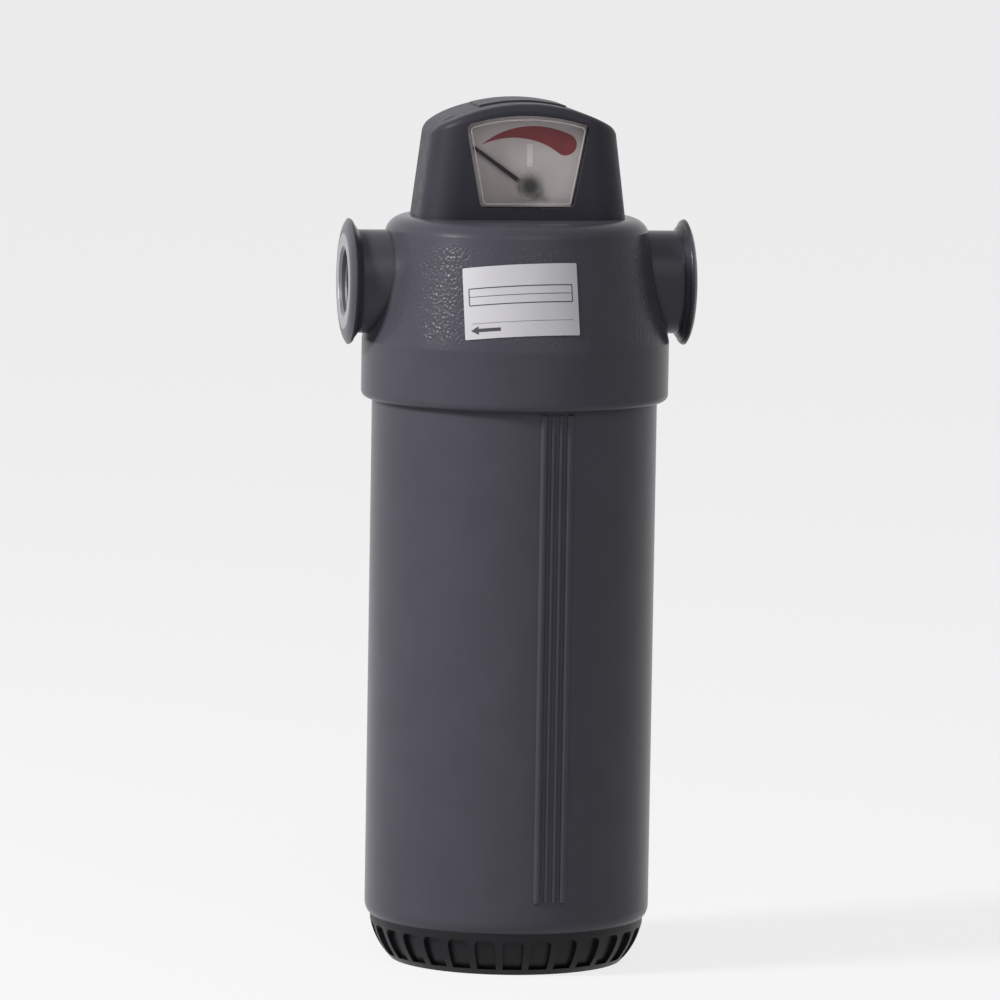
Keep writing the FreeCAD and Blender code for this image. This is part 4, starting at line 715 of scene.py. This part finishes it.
def comma_half_width(angle):
    """Grows with the angle's share of the way from the tail to the head's middle, and is the
    height of a circle past it."""
    grown = np.clip((angle - TAIL_ANGLE) / (HEAD_ANGLE - TAIL_ANGLE), TAIL_SHARE, 1)
    past = np.clip(ARC_RAD * (angle - HEAD_ANGLE), 0.0, HEAD_RAD)
    return np.where(past > 0, np.sqrt(HEAD_RAD**2 - past**2), HEAD_RAD * grown**GROWTH)


last_angle = HEAD_ANGLE + HEAD_END * HEAD_RAD / ARC_RAD
closer = np.sin(np.linspace(0.0, 0.5 * math.pi, COMMA_COLUMNS))
angles = TAIL_ANGLE + (last_angle - TAIL_ANGLE) * closer
half = comma_half_width(angles)
comma = plate(on_arc, angles, -half, half, PRINT_BACK, RED_FRONT, 4)
make_piece("red_scale", [comma], red_ink, "head")

# %% The pale stripe above the pivot
STRIPE_LEFT, STRIPE_RIGHT, STRIPE_LOW, STRIPE_HIGH = 0.5, 2.6, 7.0, 15.4


def on_dial(u, v, out):
    """The point u to the right of the pivot and v above it, out in front of the dial."""
    return np.stack([u, -DIAL_FRONT - out, PIVOT_Z + v], axis=-1)


sides = np.array([STRIPE_LEFT, STRIPE_RIGHT])
low, high = np.full(2, STRIPE_LOW), np.full(2, STRIPE_HIGH)
stripe = plate(on_dial, sides, low, high, PRINT_BACK, PALE_FRONT)
make_piece("dial_stripe", [stripe], pale_ink, "head")

# %% [markdown]
# ## The edge of the window
#
# The clear window is pressed into the housing. The light its polished edge catches is a
# painted highlight here, a thin pale bead. Its outline has an arched top and four rounded
# corners. Rather than join lines and arcs one by one, the outline is read from the direction it
# faces: each direction belongs to one corner's circle or to the arch, and the straight sides
# appear by themselves in between.

# %% The window's outline
WINDOW_LOW, WINDOW_TOP, LOW_HALF, TOP_HALF = 283.0, 313.1, 17.1, 22.9
ARCH_RAD, WINDOW_CORNER, LENS_FRONT = 75.0, 2.6, 22.0


def corner_centres():
    """The middles of the lower and the upper right corner circles.

    They lie one corner radius inside the sides: the lower one above the sill, and the upper one
    where the side, moved inwards, meets the arch with its radius less by the corner's."""
    side = np.array([TOP_HALF - LOW_HALF, WINDOW_TOP - WINDOW_LOW])
    side = side / np.linalg.norm(side)
    outward = np.array([side[1], -side[0]])
    start = np.array([LOW_HALF, WINDOW_LOW]) - WINDOW_CORNER * outward
    low = start + side * (WINDOW_LOW + WINDOW_CORNER - start[1]) / side[1]
    arch_mid = np.array([0.0, WINDOW_TOP - math.sqrt(ARCH_RAD**2 - TOP_HALF**2)])
    gap = low - arch_mid
    reach = ARCH_RAD - WINDOW_CORNER
    along = -gap @ side + math.sqrt((gap @ side) ** 2 - gap @ gap + reach**2)
    return low, low + along * side, arch_mid, math.atan2(outward[1], outward[0])


def window_outline(inset, steps=14):
    """Points of the outline, moved inwards by inset, and the direction each one faces."""
    low, top, arch_mid, side_angle = corner_centres()
    top_angle = math.atan2(top[1] - arch_mid[1], top[0])
    low_turn = np.linspace(-0.5 * math.pi, side_angle, steps)
    top_turn = np.linspace(side_angle, top_angle, steps)
    arch_turn = np.linspace(top_angle, 0.5 * math.pi, steps)
    facing = np.concatenate([low_turn, top_turn, arch_turn[1:]])
    direction = np.stack([np.cos(facing), np.sin(facing)], axis=-1)
    centre = np.concatenate(
        [np.tile(low, (steps, 1)), np.tile(top, (steps, 1)), np.tile(arch_mid, (steps - 1, 1))]
    )
    radius = np.full(len(facing), WINDOW_CORNER - inset)
    radius[2 * steps :] = ARCH_RAD - inset
    right = centre + radius[:, None] * direction
    left, left_direction = right[-2::-1] * [-1, 1], direction[-2::-1] * [-1, 1]
    return np.concatenate([right, left]), np.concatenate([direction, left_direction])


print("the window's outline has", len(window_outline(0.0)[0]), "points")

# %% The pale line, a painted highlight
RIM_INSET, RIM_WIDE, RIM_DEEP = 1.3, 0.4, 0.3


def rim_band(inset, depth, wide, deep, around=10):
    """A rounded bead along the outline. Its section is an ellipse, wide in the window's plane
    and deep through it."""
    points, direction = window_outline(inset)
    turn = np.linspace(0.0, 2 * math.pi, around, endpoint=False)
    shift = 0.5 * wide * np.cos(turn)[None, :, None] * direction[:, None, :]
    flat = points[:, None, :] + shift
    out = -depth - 0.5 * deep * np.sin(turn)[None, :] + 0 * flat[..., 0]
    return band(np.stack([flat[..., 0], out, flat[..., 1]], axis=-1), closed_path=True)


rim = rim_band(RIM_INSET, LENS_FRONT, RIM_WIDE, RIM_DEEP)
make_piece("lens_rim", [rim], painted_rim_highlight, "head")

# %% [markdown]
# In the middle of the window the mould's gate left a frosted spot, right in front of the
# pointer's hub, which blurs it. The spot is one thin disc. Its finish grows clearer from the
# middle outwards, so the disc has no edge that could be seen.

# %% The frosted spot
DISC_BACK, DISC_THICK = LENS_FRONT - DIAL_FRONT, 0.04

turn = half_turn(short_by=0.08, count=40)
aside, half_high = SPOT_X - SPOT_RAD * np.cos(turn), SPOT_RAD * np.sin(turn)
low, high = SPOT_UP - half_high, SPOT_UP + half_high
disc = plate(on_dial, aside, low, high, DISC_BACK, DISC_BACK + DISC_THICK, 6)
make_piece("lens_spot", [disc], milky, "head")

# %% [markdown]
# ## Screw threads
#
# CAD models often leave threads out, because a helix is heavy and the thread's standard says
# the rest. Here they show in the open ports, and on the bowl's neck once the head is screwed
# up. A thread is a small trapezium carried along a helix. It rises out of the wall within a
# quarter turn at both ends, as a real cut thread does.

# %% A ridge wound round an axis
LEAST_RISE = 0.05


def helix_ridge(turns, pitch, root, crest, base, top, start, per_turn=60):
    """A ridge round the axis, as an array of (radius * cos, radius * sin, height).

    At angle a the section's middle is at start plus pitch times a over a full turn. Its four
    points lie half the base and half the top to either side, at the root and crest radius."""
    angle = np.linspace(0.0, 2 * math.pi * turns, int(per_turn * turns))[:, None]
    ends = np.minimum(angle, angle[-1] - angle) / (0.5 * math.pi)
    rise = np.clip(ends, LEAST_RISE, 1.0) * np.array([0.0, 1.0, 1.0, 0.0])
    radius = root + (crest - root) * rise
    height = start + pitch * angle / (2 * math.pi) + np.array([-base, -top, top, base]) / 2
    return np.stack([radius * np.cos(angle), radius * np.sin(angle), height], axis=-1)


one_turn = helix_ridge(1, pitch=2, root=10, crest=11, base=1.5, top=0.5, start=0)
print("one turn of a ridge is an array of", one_turn.shape)

# %% Pipe threads in the two ports
PIPE_PITCH, PIPE_TURNS, PIPE_START = 1.814, 8, 48.2
PIPE_ROOT, PIPE_CREST, PIPE_BASE, PIPE_TOP = BORE_RAD + 0.05, BORE_RAD - 0.55, 1.5, 0.35

pipe = helix_ridge(
    PIPE_TURNS, PIPE_PITCH, PIPE_ROOT, PIPE_CREST, PIPE_BASE, PIPE_TOP, PIPE_START
)
for side, name in ((1, "inlet_thread"), (-1, "outlet_thread")):
    along_x = np.stack([side * pipe[..., 2], side * pipe[..., 0], PORT_Z + pipe[..., 1]], axis=-1)
    make_piece(name, [band(along_x)], thread_metal, "head")

# %% The thread on the bowl's neck
BOWL_PITCH, BOWL_TURNS, BOWL_START = 3.0, 1.5, 217.0
BOWL_ROOT, BOWL_CREST, BOWL_BASE, BOWL_TOP = 50.15, 50.95, 2.2, 0.7

neck = helix_ridge(
    BOWL_TURNS, BOWL_PITCH, BOWL_ROOT, BOWL_CREST, BOWL_BASE, BOWL_TOP, BOWL_START, 120
)
make_piece("bowl_thread", [band(neck)], thread_metal, "bowl_assembly")

# %% [markdown]
# ## The return spring
#
# Under the end plug a coil spring holds the sensing piston down. When the piston slides up, the
# solid spring of the model would stay as long as it was, and the piston would run through it.
# A wire wound like the ridge of a thread takes the solid's place here, with a mesh of its own.

# %% A wire wound round the axis
def coil(low, top, radius, wire_rad, turns, per_turn=48, around=12):
    """A round wire wound from low to top, as a closed band.

    The height follows a smooth step of the share wound, 3s^2 - 2s^3 mixed with s, so the turns
    lie close together at both ends, like the flat ends of a real spring."""
    share = np.linspace(0.0, 1.0, int(per_turn * turns))[:, None]
    climb = 0.75 * (3 * share**2 - 2 * share**3) + 0.25 * share
    angle = 2 * math.pi * turns * share
    turn = np.linspace(0.0, 2 * math.pi, around, endpoint=False)[None, :]
    reach = radius + wire_rad * np.cos(turn)
    height = low + wire_rad + (top - low - 2 * wire_rad) * climb + wire_rad * np.sin(turn)
    return band(np.stack([reach * np.cos(angle), reach * np.sin(angle), height], axis=-1))


print("a coil of two turns has", len(coil(0, 5, 4, 0.4, 2)[0]), "points")

# %% A wire spring in place of the solid one
SPRING_LOW, SPRING_TOP, SPRING_RAD, WIRE_RAD, SPRING_TURNS = 297.6, 309.4, 4.2, 0.4, 6

spring_wire = coil(SPRING_LOW, SPRING_TOP, SPRING_RAD, WIRE_RAD, SPRING_TURNS)
spring = make_piece("return_spring", [spring_wire], zinc, "head")
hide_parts("piston_spring")
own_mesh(spring)

# %% [markdown]
# ## Floor and light
#
# The filter stands on a pale floor. A small bright lamp shines from the left, high up and a
# little in front, and a large dim one from above and in front softens the dark side. The
# background should be white, yet more lamps would only wash out the filter. So the floor and
# the world show white to the camera, and to mirrors and clear things, while the light they give
# stays low. The floor keeps a fifth of its own shading, which is where the shadow shows.

# %% A pale floor that shows white
FLOOR_HALF, FLOOR_GREY, FLOOR_GLOW = 12.0, (0.8, 0.8, 0.8), 0.8
WHITE = (1.0, 1.0, 1.0, 1.0)


def seen_directly(finish):
    """1 for rays from the camera or from glossy or clear surfaces, and 0 for other light."""
    path = add(finish, "ShaderNodeLightPath").outputs
    either = calc(finish, "MAXIMUM", path["Is Camera Ray"], path["Is Glossy Ray"])
    return calc(finish, "MAXIMUM", either, path["Is Transmission Ray"])


corners = [(-FLOOR_HALF, -FLOOR_HALF, 0), (FLOOR_HALF, -FLOOR_HALF, 0)]
corners += [(FLOOR_HALF, FLOOR_HALF, 0), (-FLOOR_HALF, FLOOR_HALF, 0)]
floor_mesh = bpy.data.meshes.new("floor")
floor_mesh.from_pydata(corners, [], [(0, 1, 2, 3)])
floor = bpy.data.objects.new("floor", floor_mesh)
bpy.context.collection.objects.link(floor)
floor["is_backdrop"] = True

floor_finish = new_finish("pale floor", FLOOR_GREY, roughness=0.7, Specular_IOR_Level=0.1)
nodes = floor_finish.node_tree.nodes
share = times(floor_finish, seen_directly(floor_finish), FLOOR_GLOW)
own = nodes["Principled BSDF"].outputs[0]
glow = add(floor_finish, "ShaderNodeEmission", WHITE).outputs[0]
mix = add(floor_finish, "ShaderNodeMixShader", share, own, glow).outputs[0]
feed(floor_finish, nodes["Material Output"].inputs["Surface"], mix)
floor_mesh.materials.append(floor_finish)
print("floor:", 2 * FLOOR_HALF, "m wide")

# %% A world that is white to the eye and dim as a lamp
WORLD_LIGHT = 0.1

world = bpy.data.worlds.new("studio")
bpy.context.scene.world = world
world.use_nodes = True
background = world.node_tree.nodes["Background"]
background.inputs["Color"].default_value = WHITE
strength = ramp(world, seen_directly(world), 0.0, 1.0, WORLD_LIGHT, 1.0)
feed(world, background.inputs["Strength"], strength)
print("world:", world.name, "with a light of", WORLD_LIGHT)


# %% Soft lamps
def lamp(name, place, aim, wide, high, power):
    """A rectangular soft lamp that looks from a place at a point, both in metres."""
    data = bpy.data.lights.new(name, "AREA")
    data.shape = "RECTANGLE"
    data.size, data.size_y, data.energy = wide, high, power
    thing = bpy.data.objects.new(name, data)
    bpy.context.collection.objects.link(thing)
    thing.location = place
    way = Vector(aim) - Vector(place)
    thing.rotation_mode = "QUATERNION"
    thing.rotation_quaternion = way.to_track_quat("-Z", "Y")
    return thing


MIDDLE = (0.0, 0.0, 0.17)
lamp("key", (-1.94, -0.57, 1.48), MIDDLE, wide=0.5, high=0.5, power=56.0)
lamp("top", (0.1, -1.9, 1.9), MIDDLE, wide=1.6, high=1.4, power=11.0)

# %% [markdown]
# ## The camera
#
# The filter is seen from far away with a long lens, a little from its left and a little from
# above, which keeps its sides nearly parallel. The camera is rolled by less than a degree.
# The view settings stay plain, so a colour on screen is the colour that was rendered.

# %% Camera
AZIMUTH, ELEVATION, ROLL = math.radians(-9.2), math.radians(6.2), math.radians(0.93)
DISTANCE, FOCAL, SENSOR, AIM_Z, AIM_LEFT = 3.169, 306.0, 36.0, 0.172, 0.00475

level = math.cos(ELEVATION)
back = Vector((math.sin(AZIMUTH) * level, -math.cos(AZIMUTH) * level, math.sin(ELEVATION)))
right = Vector((math.cos(AZIMUTH), math.sin(AZIMUTH), 0.0))
camera_data = bpy.data.cameras.new("camera")
camera_data.lens, camera_data.sensor_width = FOCAL, SENSOR
camera_data.clip_start, camera_data.clip_end = 0.1, 60.0
camera = bpy.data.objects.new("camera", camera_data)
bpy.context.collection.objects.link(camera)
camera.location = Vector((0.0, 0.0, AIM_Z)) - right * AIM_LEFT + back * DISTANCE
camera.rotation_mode = "QUATERNION"
camera.rotation_quaternion = (-back).to_track_quat("-Z", "Y") @ Quaternion((0.0, 0.0, 1.0), ROLL)
bpy.context.scene.camera = camera
bpy.context.scene.view_settings.view_transform = "Standard"
print("camera at", [round(v, 3) for v in camera.location])

# %% The visual box
low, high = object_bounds()
print("visual box:", [round(v, 4) for v in (*low, *high)])
